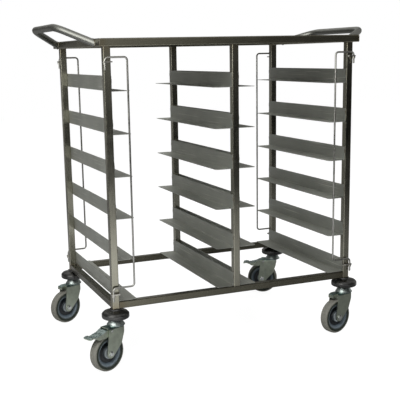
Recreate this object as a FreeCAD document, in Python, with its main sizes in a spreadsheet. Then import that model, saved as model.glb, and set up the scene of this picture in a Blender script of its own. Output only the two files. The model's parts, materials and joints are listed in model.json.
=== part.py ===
import FreeCAD, Part
import math
import os
import re
import Sketcher

# Tray transport cart: an open frame of square tube on four swivel casters, with two columns of tray runners,
# a push handle at each end and a swinging wire retainer at each corner.
# Millimetres. X runs along the cart, Y from its front (minus) to its back (plus), Z up.
# The origin is on the floor, under the middle of the frame.

SIZES = [
    # Frame of square and rectangular tube
    ("frame_width", 1160, "over the corner posts, along X"),
    ("frame_depth", 740, "over the corner posts, along Y"),
    ("post_length", 1086, "corner post, from its lower end to the top rails"),
    ("tube", 30, "square tube of the posts and bottom rails, outside"),
    ("tube_wall", 1.5, "wall of the square and rectangular tubes"),
    ("tube_corner", 3, "outside corner radius of those tubes"),
    ("top_rail_width", 50, "top rail, laid flat"),
    ("top_rail_height", 30, "top rail, upright"),
    ("top_overhang", 20, "top rails past the posts' outer faces"),
    ("top_sheet", 1.5, "thickness of the closed top"),
    ("top_inset", 2, "edge of the closed top inside the rails' outer faces"),
    ("top_corner", 6, "corner radius of the closed top"),
    # Tray runners, folded sheet
    ("runner_plate", 62, "upright plate, from the flange's underside"),
    ("runner_flange", 80, "width of the flange that carries the trays"),
    ("runner_sheet", 1.5, "thickness of the sheet"),
    ("runner_bend", 2, "inside radius of the fold"),
    ("runner_corner", 10, "radius of the flange's free corners"),
    ("runner_setback", 4, "runner's ends behind the posts' outer faces"),
    ("runner_pitch", 175, "from one level to the next"),
    ("runner_levels", 6, "number of levels"),
    ("runner_lift", 2, "lowest flange above the bottom rails"),
    # Push handles, bent round tube
    ("handle_tube", 30, "outside diameter"),
    ("handle_wall", 1.5, "wall"),
    ("handle_reach", 130, "from the end rail to the grip's centre line"),
    ("handle_rise_left", 66, "left grip above the rail's middle"),
    ("handle_rise_right", 43, "right grip above the rail's middle"),
    ("handle_feet", 610, "between the handle's two feet on the end rail"),
    ("handle_grip", 410, "grip between its two corners"),
    ("handle_bend", 90, "bend radius at the grip's corners"),
    # Wire retainers and the eyes that they hang in
    ("wire", 8, "diameter"),
    ("retainer_arm", 93, "from the hinge axis to the upright bar"),
    ("retainer_inset", 2, "hinge axis inside the post's end face, along X"),
    ("retainer_stand_off", 11, "hinge axis in front of the post, along Y"),
    ("retainer_top_drop", 43, "top arm under the posts' top"),
    ("retainer_bottom_rise", 95, "bottom arm above the posts' lower ends"),
    ("retainer_bend", 14, "bend radius between arm and bar"),
    ("pin_bend", 15, "bend radius between arm and pin"),
    ("pin_reach", 32, "pin's end under the middle of its eye"),
    ("bottom_eye_drop", 28, "middle of the lower eye under the bottom arm"),
    ("eye_length", 40, "eye along X"),
    ("eye_overhang", 7, "eye past the post's end face"),
    ("eye_depth", 18, "eye out from the post"),
    ("eye_thickness", 5, "eye, upright"),
    ("eye_corner", 5, "radius of the eye's free corners"),
    # Clearances
    ("pin_clearance", 0.05, "radial, pins and bolts in their bores"),
    ("seat_gap", 0.05, "between pieces that are fitted into each other"),
    ("moving_gap", 0.3, "between faces that turn past each other"),
    # Caster wheels
    ("wheel_diameter", 160, "over the tread"),
    ("tyre_thickness", 20, "tyre, radial"),
    ("tread_width", 40, "tyre, across"),
    ("tread_shoulder", 8, "radius of the tread's edges"),
    ("tyre_flank", 1.5, "tyre's taper on each side, towards the rim"),
    ("rim_width", 34, "rim of the wheel core"),
    ("rim_thickness", 4, "rim, radial"),
    ("rim_flare", 12, "slope from the rim to the web, radial"),
    ("web_tip", 10, "web of the wheel core at the rim"),
    ("web_root", 12, "web of the wheel core at the hub"),
    ("hub_radius", 25, "hub of the wheel core"),
    ("hub_width", 34, "hub of the wheel core, across"),
    ("boss_radius", 13, "boss in the middle of the hub, out to the fork's legs"),
    ("hub_flare", 4, "slope from the hub to the web, radial"),
    ("hub_side_gap", 0.5, "boss to the fork's leg, each side"),
    ("axle_diameter", 12, "axle bolt"),
    ("bolt_width", 18, "across the flats of the bolt's head and nut"),
    ("bolt_head", 7, "height of the bolt's head"),
    ("nut_height", 9, "height of the nut"),
    ("bolt_tail", 2.5, "bolt's end past the nut"),
    # Caster forks
    ("trail", 56, "axle behind the swivel axis"),
    ("wheel_room", 26, "from the tyre's top to the crown's underside"),
    ("fork_sheet", 4, "pressed sheet of the fork"),
    ("fork_inside", 51, "between the legs"),
    ("fork_bend", 2, "inside radius between crown and legs"),
    ("fork_shoulder", 8, "outside radius between crown and legs"),
    ("fork_foot", 20, "radius of the leg's foot about the axle"),
    ("fork_rear", 62, "crown's rear edge behind the swivel axis"),
    ("fork_front", 20, "crown's front edge ahead of the swivel axis"),
    ("fork_brow", 30, "depth of the crown's front"),
    ("knee_ahead", 4, "leg's knee ahead of the swivel axis"),
    ("knee_rise", 33, "leg's knee above the axle"),
    ("fork_round", 30, "radius of the bends in the leg's front edge"),
    ("tab_width", 30, "tab of a fork without a brake"),
    ("tab_reach", 24, "tab behind the crown"),
    ("tab_drop", 17, "tab's end under the crown's top"),
    # Caster swivel heads, bumpers, stems and sockets
    ("head_lip", 39, "radius of the lip round the swivel head's lower edge"),
    ("lip_height", 2, "height of that lip"),
    ("head_radius", 36.5, "swivel head above its lip"),
    ("head_top_radius", 23, "swivel head at its top"),
    ("head_height", 29.2, "swivel head"),
    ("head_band", 5, "straight lower part of the swivel head, with its lip"),
    ("head_round", 7, "radius of the swivel head's shoulder"),
    ("bumper_diameter", 118, "bumper disc"),
    ("bumper_height", 40.5, "bumper disc with its hub"),
    ("bumper_under", 53, "radius of the bumper's flat underside"),
    ("rim_low", 3, "lower edge of the bumper's rim"),
    ("rim_high", 20, "upper edge of the bumper's rim"),
    ("rim_round", 6, "radius of the bumper's rim edges"),
    ("cone_edge", 8, "bumper's cone inside its rim, along and up"),
    ("cone_round", 10, "radius of the cone's outer edge"),
    ("cone_radius", 28, "bumper's cone at its top"),
    ("cone_drop", 6, "top of the bumper's cone under its hub's top"),
    ("bumper_hub", 24, "radius of the bumper's hub"),
    ("stem_diameter", 12, "caster stem"),
    ("stem_head", 26, "diameter of the stem's head"),
    ("stem_head_height", 6, "height of the stem's head"),
    ("socket_height", 30, "stem socket in the post"),
    ("caster_turn_front_left", 23.5, "degrees, fork about its stem"),
    ("caster_turn_front_right", 14, "degrees, fork about its stem"),
    ("caster_turn_back_left", 22.5, "degrees, fork about its stem"),
    ("caster_turn_back_right", -31.5, "degrees, fork about its stem"),
    # Brake pedals, measured from their hinge pin
    ("pedal_pivot_back", 48, "hinge pin behind the swivel axis"),
    ("pedal_pivot_drop", 12, "hinge pin under the crown's top"),
    ("pedal_pin", 6, "diameter of the hinge pin"),
    ("pin_head", 5, "radius of the hinge pin's heads"),
    ("pin_head_height", 2, "height of the hinge pin's heads"),
    ("pedal_side_gap", 1, "pedal to the fork's leg, each side"),
    ("pedal_sheet", 2, "sheet of the pedal"),
    ("pedal_nose", 5.5, "pedal ahead of the pin and above it"),
    ("flat_back", 24, "end of the flat behind the pin"),
    ("dip_back", 44, "end of the steep slope behind the pin"),
    ("dip_drop", 5, "end of the steep slope under the pin"),
    ("slope_back", 80, "end of the ribbed slope behind the pin"),
    ("slope_drop", 13.5, "end of the ribbed slope under the pin"),
    ("slope_ribs", 3, "number of ribs on the slope"),
    ("toe_length", 32, "toe of the pedal"),
    ("toe_lift", 1, "rise of the toe to its tip"),
    ("toe_crest", 4.5, "arch of the toe"),
    ("toe_sheet", 4, "thickness of the toe"),
    ("toe_corner", 6, "radius of the toe's corners"),
    ("toe_ribs", 3, "number of ribs on the toe"),
    ("pedal_rib", 1, "height of the ribs"),
    ("skirt_drop", 26, "lower edge of the pedal's sides under the pin"),
    ("skirt_front", 26, "front end of the lower edge behind the pin"),
    ("skirt_back", 66, "rear end of the lower edge behind the pin"),
    ("shoe_length", 16, "brake shoe"),
    ("shoe_width", 36, "brake shoe, across"),
    ("shoe_lift", 4.2, "brake shoe's underside above the tyre's top"),
]

CORNERS = {
    "front_left": (-1, -1),
    "front_right": (1, -1),
    "back_left": (-1, 1),
    "back_right": (1, 1),
}
BRAKED = ("front_left", "back_right")
X_AXIS = FreeCAD.Vector(1, 0, 0)
Y_AXIS = FreeCAD.Vector(0, 1, 0)
Z_AXIS = FreeCAD.Vector(0, 0, 1)
TOUCH = 1e-4
# A cut runs this many times the size of what it cuts
CUT_PAST = 4
# One rib of a pedal: shares of its stretch of the tread, with the rib's height there in rib heights
RIB_PROFILE = ((0.3, 0), (0.45, 1), (0.75, 1), (0.9, 0))

# Heights and places that follow from the sizes, written as expressions
axle_height = "(wheel_diameter / 2)"
crown_under = "(wheel_diameter + wheel_room)"
crown_top = f"({crown_under} + fork_sheet)"
head_bottom = f"({crown_top} + moving_gap)"
bumper_bottom = f"({head_bottom} + head_height)"
frame_bottom = f"({bumper_bottom} + bumper_height)"
rail_top = f"({frame_bottom} + tube)"
post_top = f"({frame_bottom} + post_length)"
deck = f"({post_top} + top_rail_height)"
post_x = "(frame_width / 2 - tube / 2)"
post_y = "(frame_depth / 2 - tube / 2)"
end_face = "(frame_width / 2 + top_overhang)"
front_face = "(frame_depth / 2 + top_overhang)"
hinge_x = "(frame_width / 2 - retainer_inset)"
hinge_y = "(frame_depth / 2 + retainer_stand_off)"
top_arm = f"({post_top} - retainer_top_drop)"
bottom_arm = f"({frame_bottom} + retainer_bottom_rise)"
top_eye = f"({top_arm} - pin_bend - moving_gap - eye_thickness / 2)"
bottom_eye = f"({bottom_arm} - bottom_eye_drop)"
fork_half = "(fork_inside / 2 + fork_sheet)"
pedal_pivot = f"({crown_top} - pedal_pivot_drop)"
pin_bore = "(pedal_pin / 2 + pin_clearance)"
stem_bore = "(stem_diameter / 2 + pin_clearance)"
axle_bore = "(axle_diameter / 2 + pin_clearance)"

doc = FreeCAD.newDocument("TrayCart")
sheet = doc.addObject("Spreadsheet::Sheet", "Sizes")
for row, (alias, size, note) in enumerate(SIZES, start=1):
    sheet.set(f"A{row}", note)
    sheet.set(f"B{row}", str(size))
    sheet.setAlias(f"B{row}", alias)
doc.recompute()
ALIAS_WORD = re.compile(r"\b(" + "|".join(alias for alias, size, note in SIZES) + r")\b")
pieces = []


def expression(text):
    """The text with each size's name pointing into the sheet."""
    return ALIAS_WORD.sub(r"Sizes.\1", text)


def value(text):
    """What an expression of sizes is worth now."""
    return float(sheet.evalExpression(expression(text)))


def bind(thing, prop, text):
    """Tie a property to an expression of sizes."""
    thing.setExpression(prop, expression(text))


def new_body(label):
    """An empty body, which becomes the sub-part of that name."""
    body = doc.addObject("PartDesign::Body", label)
    body.Label = label
    pieces.append(body)
    return body


def origin_feature(body, role):
    """One of the body's own origin planes or axes."""
    return next(feature for feature in body.Origin.OriginFeatures if feature.Role == role)


def place(thing, x, y, z, rotation=FreeCAD.Rotation()):
    """Turn a sub-part and tie its place to expressions of sizes."""
    thing.Placement = FreeCAD.Placement(FreeCAD.Vector(), rotation)
    for letter, text in zip("xyz", (x, y, z)):
        bind(thing, f".Placement.Base.{letter}", text)


def sketch_on(body, role, offset="0"):
    """A sketch on an origin plane of the body, moved along the plane's normal by the offset."""
    sketch = body.newObject("Sketcher::SketchObject", f"{body.Label}_sketch")
    sketch.AttachmentSupport = (origin_feature(body, role), [""])
    sketch.MapMode = "FlatFace"
    bind(sketch, ".AttachmentOffset.Base.z", offset)
    return sketch


def pin_point(sketch, geometry, end, x, y):
    """Tie a point of a sketch to its two coordinates."""
    for kind, text in (("DistanceX", x), ("DistanceY", y)):
        index = sketch.addConstraint(Sketcher.Constraint(kind, -1, 1, geometry, end, value(text)))
        bind(sketch, f"Constraints[{index}]", text)


def polygon(sketch, corners):
    """A closed outline of straight lines through the corners."""
    points = [FreeCAD.Vector(value(x), value(y), 0) for x, y in corners]
    first = sketch.GeometryCount
    count = len(points)
    for start, end in zip(points, points[1:] + points[:1]):
        sketch.addGeometry(Part.LineSegment(start, end), False)
    for i in range(count):
        sketch.addConstraint(Sketcher.Constraint("Coincident", first + i, 2, first + (i + 1) % count, 1))
    for i, (x, y) in enumerate(corners):
        pin_point(sketch, first + i, 1, x, y)


def rectangle(sketch, x, y, width, height):
    """A rectangle about a centre."""
    left, right = f"{x} - {width} / 2", f"{x} + {width} / 2"
    low, high = f"{y} - {height} / 2", f"{y} + {height} / 2"
    polygon(sketch, [(left, low), (right, low), (right, high), (left, high)])


def circle(sketch, x, y, radius):
    """A circle about a centre."""
    centre = FreeCAD.Vector(value(x), value(y), 0)
    geometry = sketch.addGeometry(Part.Circle(centre, Z_AXIS, value(radius)), False)
    pin_point(sketch, geometry, 3, x, y)
    index = sketch.addConstraint(Sketcher.Constraint("Radius", geometry, value(radius)))
    bind(sketch, f"Constraints[{index}]", radius)


def pad(body, sketch, length, side="Symmetric"):
    """Raise a sketch to a solid."""
    feature = body.newObject("PartDesign::Pad", f"{body.Label}_pad")
    feature.Profile = sketch
    feature.SideType = side
    bind(feature, "Length", length)


def pocket(body, sketch, length):
    """Cut a sketch out of the body, to both sides of its plane, and make sure that something was cut."""
    doc.recompute()
    before = body.Shape.Volume
    feature = body.newObject("PartDesign::Pocket", f"{body.Label}_pocket")
    feature.Profile = sketch
    feature.SideType = "Symmetric"
    bind(feature, "Length", length)
    doc.recompute()
    if not body.Shape.Volume < before:
        raise RuntimeError(f"a pocket in {body.Label} cuts nothing")


def revolve(body, sketch, axis):
    """Turn a sketch about one of the body's axes."""
    feature = body.newObject("PartDesign::Revolution", f"{body.Label}_revolution")
    feature.Profile = sketch
    feature.ReferenceAxis = (origin_feature(body, axis), [""])
    feature.Angle = 360


def fillet(body, radius, wanted):
    """Round the edges for which wanted(edge) is true."""
    doc.recompute()
    base = body.Tip
    names = [f"Edge{i}" for i, edge in enumerate(base.Shape.Edges, start=1) if wanted(edge)]
    if not names:
        raise RuntimeError(f"a fillet in {body.Label} finds no edge")
    feature = body.newObject("PartDesign::Fillet", f"{body.Label}_fillet")
    feature.Base = (base, names)
    bind(feature, "Radius", radius)


def runs_along(edge, axis):
    """Whether an edge is a straight line along the axis."""
    if not isinstance(edge.Curve, Part.Line):
        return False
    return edge.Curve.Direction.cross(axis).Length < TOUCH


def through(edge, x=None, y=None, z=None):
    """Whether an edge's middle has the given coordinates, taken without their signs."""
    middle = edge.CenterOfMass
    pairs = ((x, middle.x), (y, middle.y), (z, middle.z))
    return all(text is None or abs(abs(value(text)) - abs(found)) < TOUCH for text, found in pairs)


def ring_at(edge, along, place_along, radius):
    """Whether an edge is a circle of that radius, at that place along an axis."""
    if not isinstance(edge.Curve, Part.Circle):
        return False
    found = abs(edge.Curve.Center.dot(along))
    return abs(found - abs(value(place_along))) < TOUCH and abs(edge.Curve.Radius - value(radius)) < TOUCH


def bent_bar(points, bends, radius):
    """A round bar along straight runs, with a tangent arc at each inner point."""
    start = points[0]
    edges = []
    for before, corner, after, bend in zip(points, points[1:], points[2:], bends):
        arriving = (corner - before).normalize()
        leaving = (after - corner).normalize()
        turn = arriving.getAngle(leaving)
        reach = bend * math.tan(turn / 2)
        enter = corner - arriving * reach
        leave = corner + leaving * reach
        inward = (leaving - arriving).normalize()
        middle = corner + inward * (bend / math.cos(turn / 2) - bend)
        edges.append(Part.makeLine(start, enter))
        edges.append(Part.Arc(enter, middle, leave).toShape())
        start = leave
    edges.append(Part.makeLine(start, points[-1]))
    section = Part.Wire(Part.makeCircle(radius, points[0], points[1] - points[0]))
    return Part.Wire(edges).makePipeShell([section], True, False)


def bent_piece(label, shape):
    """A sub-part bent from bar or tube, whose shape has its place in it."""
    piece = doc.addObject("Part::Feature", label)
    piece.Label = label
    piece.Shape = shape
    piece.Placement = FreeCAD.Placement()
    pieces.append(piece)


def tube_body(label, across, deep, length, side):
    """A tube along local Z with rounded corners, across in X and deep in Y."""
    body = new_body(label)
    section = sketch_on(body, "XY_Plane")
    rectangle(section, "0", "0", across, deep)
    rectangle(section, "0", "0", f"({across} - 2 * tube_wall)", f"({deep} - 2 * tube_wall)")
    pad(body, section, length, side)
    fillet(body, "tube_corner", lambda edge: runs_along(edge, Z_AXIS) and through(edge, x=f"{across} / 2"))
    inner = f"{across} / 2 - tube_wall"
    fillet(body, "tube_corner - tube_wall",
           lambda edge: runs_along(edge, Z_AXIS) and through(edge, x=inner, y=f"{deep} / 2 - tube_wall"))
    return body


def posts():
    """Four corner posts, and two centre posts that stand on the bottom rails."""
    for corner, (side, end) in CORNERS.items():
        body = tube_body(f"corner_post_{corner}", "tube", "tube", "post_length", "One side")
        place(body, f"{side} * {post_x}", f"{end} * {post_y}", frame_bottom)
    for name, end in (("front", -1), ("back", 1)):
        body = tube_body(f"centre_post_{name}", "tube", "tube", "post_length - tube", "One side")
        place(body, "0", f"{end} * {post_y}", rail_top)


def lay_rail(body, quarter, x, y, z):
    """Lay a rail down: quarter 0 is the front rail, 1 the right, 2 the back and 3 the left."""
    lying = FreeCAD.Rotation(Y_AXIS, 90)
    turned = FreeCAD.Rotation(Z_AXIS, 90 * quarter)
    outward = ((0, -1), (1, 0), (0, 1), (-1, 0))[quarter]
    place(body, f"{outward[0]} * {x}", f"{outward[1]} * {y}", z, turned * lying)


def rails():
    """Bottom rails between the posts, and mitred top rails on them."""
    bottom_z = f"{frame_bottom} + tube / 2"
    top_z = f"{post_top} + top_rail_height / 2"
    for quarter, name in enumerate(("front", "right", "back", "left")):
        clear = "frame_depth - 2 * tube" if quarter % 2 else "frame_width - 2 * tube"
        bottom = tube_body(f"bottom_rail_{name}", "tube", "tube", clear, "Symmetric")
        lay_rail(bottom, quarter, post_x, post_y, bottom_z)
        half = end_face if quarter % 2 == 0 else front_face
        top = tube_body(f"top_rail_{name}", "top_rail_height", "top_rail_width", f"2 * {half}", "Symmetric")
        mitre = sketch_on(top, "YZ_Plane")
        for sign in (-1, 1):
            outer = ("-top_rail_width / 2", f"{sign} * {half}")
            beyond = ("top_rail_width / 2", f"{sign} * {half}")
            inner = ("top_rail_width / 2", f"{sign} * ({half} - top_rail_width)")
            polygon(mitre, [outer, beyond, inner])
        pocket(top, mitre, f"{CUT_PAST} * top_rail_height")
        rail_x = f"({end_face} - top_rail_width / 2)"
        rail_y = f"({front_face} - top_rail_width / 2)"
        lay_rail(top, quarter, rail_x, rail_y, top_z)


def closed_top():
    """A flat sheet on the top rails."""
    body = new_body("top_panel")
    outline = sketch_on(body, "XY_Plane")
    rectangle(outline, "0", "0", f"(2 * {end_face} - 2 * top_inset)", f"(2 * {front_face} - 2 * top_inset)")
    pad(body, outline, "top_sheet", "One side")
    fillet(body, "top_corner", lambda edge: runs_along(edge, Z_AXIS))
    place(body, "0", "0", deck)


def runners():
    """Folded L runners: one row of levels at each end, and two rows back to back on the centre posts."""
    rows = (
        ("left", "-frame_width / 2 + tube", 0),
        ("centre_left", "-tube / 2", 180),
        ("centre_right", "tube / 2", 0),
        ("right", "frame_width / 2 - tube", 180),
    )
    length = "frame_depth - 2 * runner_setback"
    for name, x, turn in rows:
        body = new_body(f"tray_runners_{name}")
        fold = sketch_on(body, "XZ_Plane")
        polygon(fold, [
            ("0", "0"),
            ("runner_flange", "0"),
            ("runner_flange", "runner_sheet"),
            ("runner_sheet", "runner_sheet"),
            ("runner_sheet", "runner_plate"),
            ("0", "runner_plate"),
        ])
        pad(body, fold, length)
        fillet(body, "runner_bend",
               lambda edge: runs_along(edge, Y_AXIS) and through(edge, x="runner_sheet", z="runner_sheet"))
        fillet(body, "runner_bend + runner_sheet",
               lambda edge: runs_along(edge, Y_AXIS) and through(edge, x="0", z="0"))
        fillet(body, "runner_corner",
               lambda edge: runs_along(edge, Z_AXIS) and through(edge, x="runner_flange"))
        level = body.newObject("PartDesign::LinearPattern", f"{body.Label}_levels")
        level.TransformMode = "Whole shape"
        level.Direction = (origin_feature(body, "Z_Axis"), [""])
        level.Mode = "Spacing"
        bind(level, "Offset", "runner_pitch")
        bind(level, "Occurrences", "runner_levels")
        body.Tip = level
        place(body, x, "0", f"{rail_top} + runner_lift", FreeCAD.Rotation(Z_AXIS, turn))


def handles():
    """Push handles: from the end rail's face out and up to the grip and back, with the feet cut flush."""
    face = value(end_face)
    rail_z = value(f"{post_top} + top_rail_height / 2")
    tube = value("handle_tube")
    reach = value("handle_reach")
    foot_y = value("handle_feet / 2")
    grip_y = value("handle_grip / 2")
    bends = [value("handle_bend")] * 2
    for name, side in (("left", -1), ("right", 1)):
        foot = FreeCAD.Vector(side * face, -foot_y, rail_z)
        corner = FreeCAD.Vector(side * (face + reach), -grip_y, rail_z + value(f"handle_rise_{name}"))
        inside = foot + (foot - corner) * (tube / reach)
        one_half = [inside, corner]
        other_half = [FreeCAD.Vector(point.x, -point.y, point.z) for point in reversed(one_half)]
        points = one_half + other_half
        bar = bent_bar(points, bends, tube / 2)
        bore = bent_bar(points, bends, tube / 2 - value("handle_wall"))
        past = CUT_PAST * tube
        half_rail = value(front_face)
        block_x = min(side * face, side * (face - past))
        block_start = FreeCAD.Vector(block_x, -half_rail, rail_z - past)
        rail_block = Part.makeBox(past, 2 * half_rail, 2 * past, block_start)
        bent_piece(f"push_handle_{name}", bar.cut(bore).cut(rail_block))


def retainers():
    """Wire retainers: a tall bar with an arm at each end, each arm bent down into a pin."""
    pins = (value(f"{top_eye} - pin_reach"), value(f"{bottom_eye} - pin_reach"))
    arms = (value(top_arm), value(bottom_arm))
    pin_x = value(hinge_x)
    bar_x = pin_x - value("retainer_arm")
    path = [
        (pin_x, pins[0]),
        (pin_x, arms[0]),
        (bar_x, arms[0]),
        (bar_x, arms[1]),
        (pin_x, arms[1]),
        (pin_x, pins[1]),
    ]
    arm_bend = value("retainer_bend")
    pin_bend = value("pin_bend")
    bends = [pin_bend, arm_bend, arm_bend, pin_bend]
    for corner, (side, end) in CORNERS.items():
        points = [FreeCAD.Vector(side * x, end * value(hinge_y), z) for x, z in path]
        bent_piece(f"tray_retainer_{corner}", bent_bar(points, bends, value("wire / 2")))


def retainer_eyes():
    """Flat eyes on the corner posts' outer faces, two for each retainer."""
    body = new_body("retainer_eyes")
    for height in (top_eye, bottom_eye):
        outline = sketch_on(body, "XY_Plane", height)
        for side, end in CORNERS.values():
            middle_x = f"{side} * (frame_width / 2 + eye_overhang - eye_length / 2)"
            middle_y = f"{end} * (frame_depth / 2 + eye_depth / 2)"
            rectangle(outline, middle_x, middle_y, "eye_length", "eye_depth")
            circle(outline, f"{side} * {hinge_x}", f"{end} * {hinge_y}", "wire / 2 + pin_clearance")
        pad(body, outline, "eye_thickness")
    fillet(body, "eye_corner",
           lambda edge: runs_along(edge, Z_AXIS) and through(edge, y="frame_depth / 2 + eye_depth"))


def stem_sockets():
    """Square sockets in the corner posts' lower ends, bored for the caster stems."""
    body = new_body("stem_sockets")
    outline = sketch_on(body, "XY_Plane")
    width = "(tube - 2 * tube_wall - 2 * seat_gap)"
    for side, end in CORNERS.values():
        x, y = f"{side} * {post_x}", f"{end} * {post_y}"
        rectangle(outline, x, y, width, width)
        circle(outline, x, y, stem_bore)
    pad(body, outline, "socket_height", "One side")
    corner_edges = [f"{post_x} + {width} / 2", f"{post_x} - {width} / 2"]
    fillet(body, "tube_corner",
           lambda edge: runs_along(edge, Z_AXIS) and any(through(edge, x=text) for text in corner_edges))
    place(body, "0", "0", frame_bottom)


def stand_caster_piece(body, corner, back="0", z="0"):
    """Place a caster's piece: back is how far it lies behind the swivel axis, along the turned fork."""
    side, end = CORNERS[corner]
    turn = f"caster_turn_{corner}"
    rotation = FreeCAD.Rotation(Z_AXIS, value(turn))
    x = f"{side} * {post_x} - {back} * cos({turn})"
    y = f"{end} * {post_y} - {back} * sin({turn})"
    place(body, x, y, z, rotation)
    bind(body, ".Placement.Rotation.Angle", turn)


def caster_bumper(corner):
    """Rubber bumper: a disc with a rounded rim and a conical top, under the post."""
    body = new_body(f"bumper_{corner}")
    profile = sketch_on(body, "XZ_Plane")
    rim = "bumper_diameter / 2"
    polygon(profile, [
        (stem_bore, "0"),
        ("bumper_under", "0"),
        (rim, "rim_low"),
        (rim, "rim_high"),
        (f"{rim} - cone_edge", "rim_high + cone_edge"),
        ("cone_radius", "bumper_height - cone_drop"),
        ("bumper_hub", "bumper_height - cone_drop"),
        ("bumper_hub", "bumper_height"),
        (stem_bore, "bumper_height"),
    ])
    revolve(body, profile, "Z_Axis")
    fillet(body, "rim_round",
           lambda edge: any(ring_at(edge, Z_AXIS, height, rim) for height in ("rim_low", "rim_high")))
    fillet(body, "cone_round",
           lambda edge: ring_at(edge, Z_AXIS, "rim_high + cone_edge", f"{rim} - cone_edge"))
    stand_caster_piece(body, corner, z=bumper_bottom)


def caster_head(corner):
    """Swivel head: a pressed dome with a lip, between the fork and the bumper."""
    body = new_body(f"swivel_head_{corner}")
    profile = sketch_on(body, "XZ_Plane")
    polygon(profile, [
        (stem_bore, "0"),
        ("head_lip", "0"),
        ("head_lip", "lip_height"),
        ("head_radius", "lip_height"),
        ("head_radius", "head_band"),
        ("head_top_radius", "head_height"),
        (stem_bore, "head_height"),
    ])
    revolve(body, profile, "Z_Axis")
    fillet(body, "head_round", lambda edge: ring_at(edge, Z_AXIS, "head_band", "head_radius"))
    stand_caster_piece(body, corner, z=head_bottom)


def caster_stem(corner):
    """Stem: a bolt whose head carries the fork's crown, up into the socket in the post."""
    body = new_body(f"caster_stem_{corner}")
    profile = sketch_on(body, "XZ_Plane")
    shoulder = f"{crown_under} - moving_gap"
    polygon(profile, [
        ("0", f"{shoulder} - stem_head_height"),
        ("stem_head / 2", f"{shoulder} - stem_head_height"),
        ("stem_head / 2", shoulder),
        ("stem_diameter / 2", shoulder),
        ("stem_diameter / 2", f"{frame_bottom} + socket_height"),
        ("0", f"{frame_bottom} + socket_height"),
    ])
    revolve(body, profile, "Z_Axis")
    stand_caster_piece(body, corner)


def touch_point(across, up, side):
    """Where a line from a point touches the fork's foot, a circle of radius r about the axle.

    The point P is given from the axle, d is its distance and Q is P turned a quarter; the line touches at
    (r r P + side r sqrt(d d - r r) Q) / (d d)."""
    square = f"(({across}) ^ 2 + ({up}) ^ 2)"
    reach = f"({side} * fork_foot * sqrt({square} - fork_foot ^ 2))"
    x = f"(fork_foot ^ 2 * ({across}) - {reach} * ({up})) / {square} - trail"
    z = f"(fork_foot ^ 2 * ({up}) + {reach} * ({across})) / {square} + {axle_height}"
    return x, z


def caster_fork(corner):
    """Fork: a pressed crown with two legs that carry the axle, and a tab where there is no brake."""
    body = new_body(f"caster_fork_{corner}")
    knee = ("knee_ahead", f"{axle_height} + knee_rise")
    brow = ("fork_front", f"{crown_top} - fork_brow")
    legs = sketch_on(body, "XZ_Plane")
    polygon(legs, [
        ("-fork_rear", crown_top),
        touch_point("trail - fork_rear", f"{crown_top} - {axle_height}", 1),
        touch_point("trail + knee_ahead", "knee_rise", -1),
        knee,
        brow,
        ("fork_front", crown_top),
    ])
    pad(body, legs, f"2 * {fork_half}")
    for x, z in (knee, brow):
        fillet(body, "fork_round", lambda edge: runs_along(edge, Y_AXIS) and through(edge, x=x, z=z))
    foot = sketch_on(body, "XZ_Plane")
    circle(foot, "-trail", axle_height, "fork_foot")
    pad(body, foot, f"2 * {fork_half}")
    fillet(body, "fork_shoulder", lambda edge: runs_along(edge, X_AXIS) and through(edge, z=crown_top))
    inside = sketch_on(body, "YZ_Plane")
    rectangle(inside, "0", f"{crown_under} / 2", "fork_inside", crown_under)
    pocket(body, inside, f"{CUT_PAST} * (trail + fork_foot + fork_front)")
    fillet(body, "fork_bend", lambda edge: runs_along(edge, X_AXIS) and through(edge, z=crown_under))
    if corner not in BRAKED:
        tab = sketch_on(body, "XZ_Plane")
        tip = "-fork_rear - tab_reach"
        polygon(tab, [
            ("-fork_rear + fork_sheet", crown_top),
            (tip, crown_top),
            (tip, f"{crown_top} - tab_drop"),
            (f"{tip} + fork_sheet", f"{crown_top} - tab_drop"),
            (f"{tip} + fork_sheet", crown_under),
            ("-fork_rear + fork_sheet", crown_under),
        ])
        pad(body, tab, "tab_width")
        fillet(body, "fork_bend + fork_sheet",
               lambda edge: runs_along(edge, Y_AXIS) and through(edge, x=tip, z=crown_top))
    bores = sketch_on(body, "XZ_Plane")
    circle(bores, "-trail", axle_height, axle_bore)
    if corner in BRAKED:
        circle(bores, "-pedal_pivot_back", pedal_pivot, pin_bore)
    pocket(body, bores, f"{CUT_PAST} * {fork_half}")
    bearing = sketch_on(body, "XY_Plane", crown_top)
    circle(bearing, "0", "0", stem_bore)
    pocket(body, bearing, f"{CUT_PAST} * fork_sheet")
    stand_caster_piece(body, corner)


def hexagon(sketch, width):
    """A regular hexagon of that width across its flats."""
    reach = f"{width} / 2 / cos(30)"
    polygon(sketch, [(f"{reach} * cos({60 * i})", f"{reach} * sin({60 * i})") for i in range(6)])


def caster_axle(corner):
    """Axle bolt through the legs and the hub, with its nut."""
    body = new_body(f"axle_bolt_{corner}")
    tail = f"({fork_half} + nut_height + bolt_tail)"
    shank = sketch_on(body, "XZ_Plane", f"-{tail}")
    circle(shank, "0", "0", "axle_diameter / 2")
    pad(body, shank, f"{tail} + {fork_half}", "One side")
    head = sketch_on(body, "XZ_Plane", fork_half)
    hexagon(head, "bolt_width")
    pad(body, head, "bolt_head", "One side")
    nut = sketch_on(body, "XZ_Plane", f"-({fork_half} + nut_height)")
    hexagon(nut, "bolt_width")
    circle(nut, "0", "0", "axle_diameter / 2 + seat_gap")
    pad(body, nut, "nut_height", "One side")
    stand_caster_piece(body, corner, "trail", axle_height)


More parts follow.
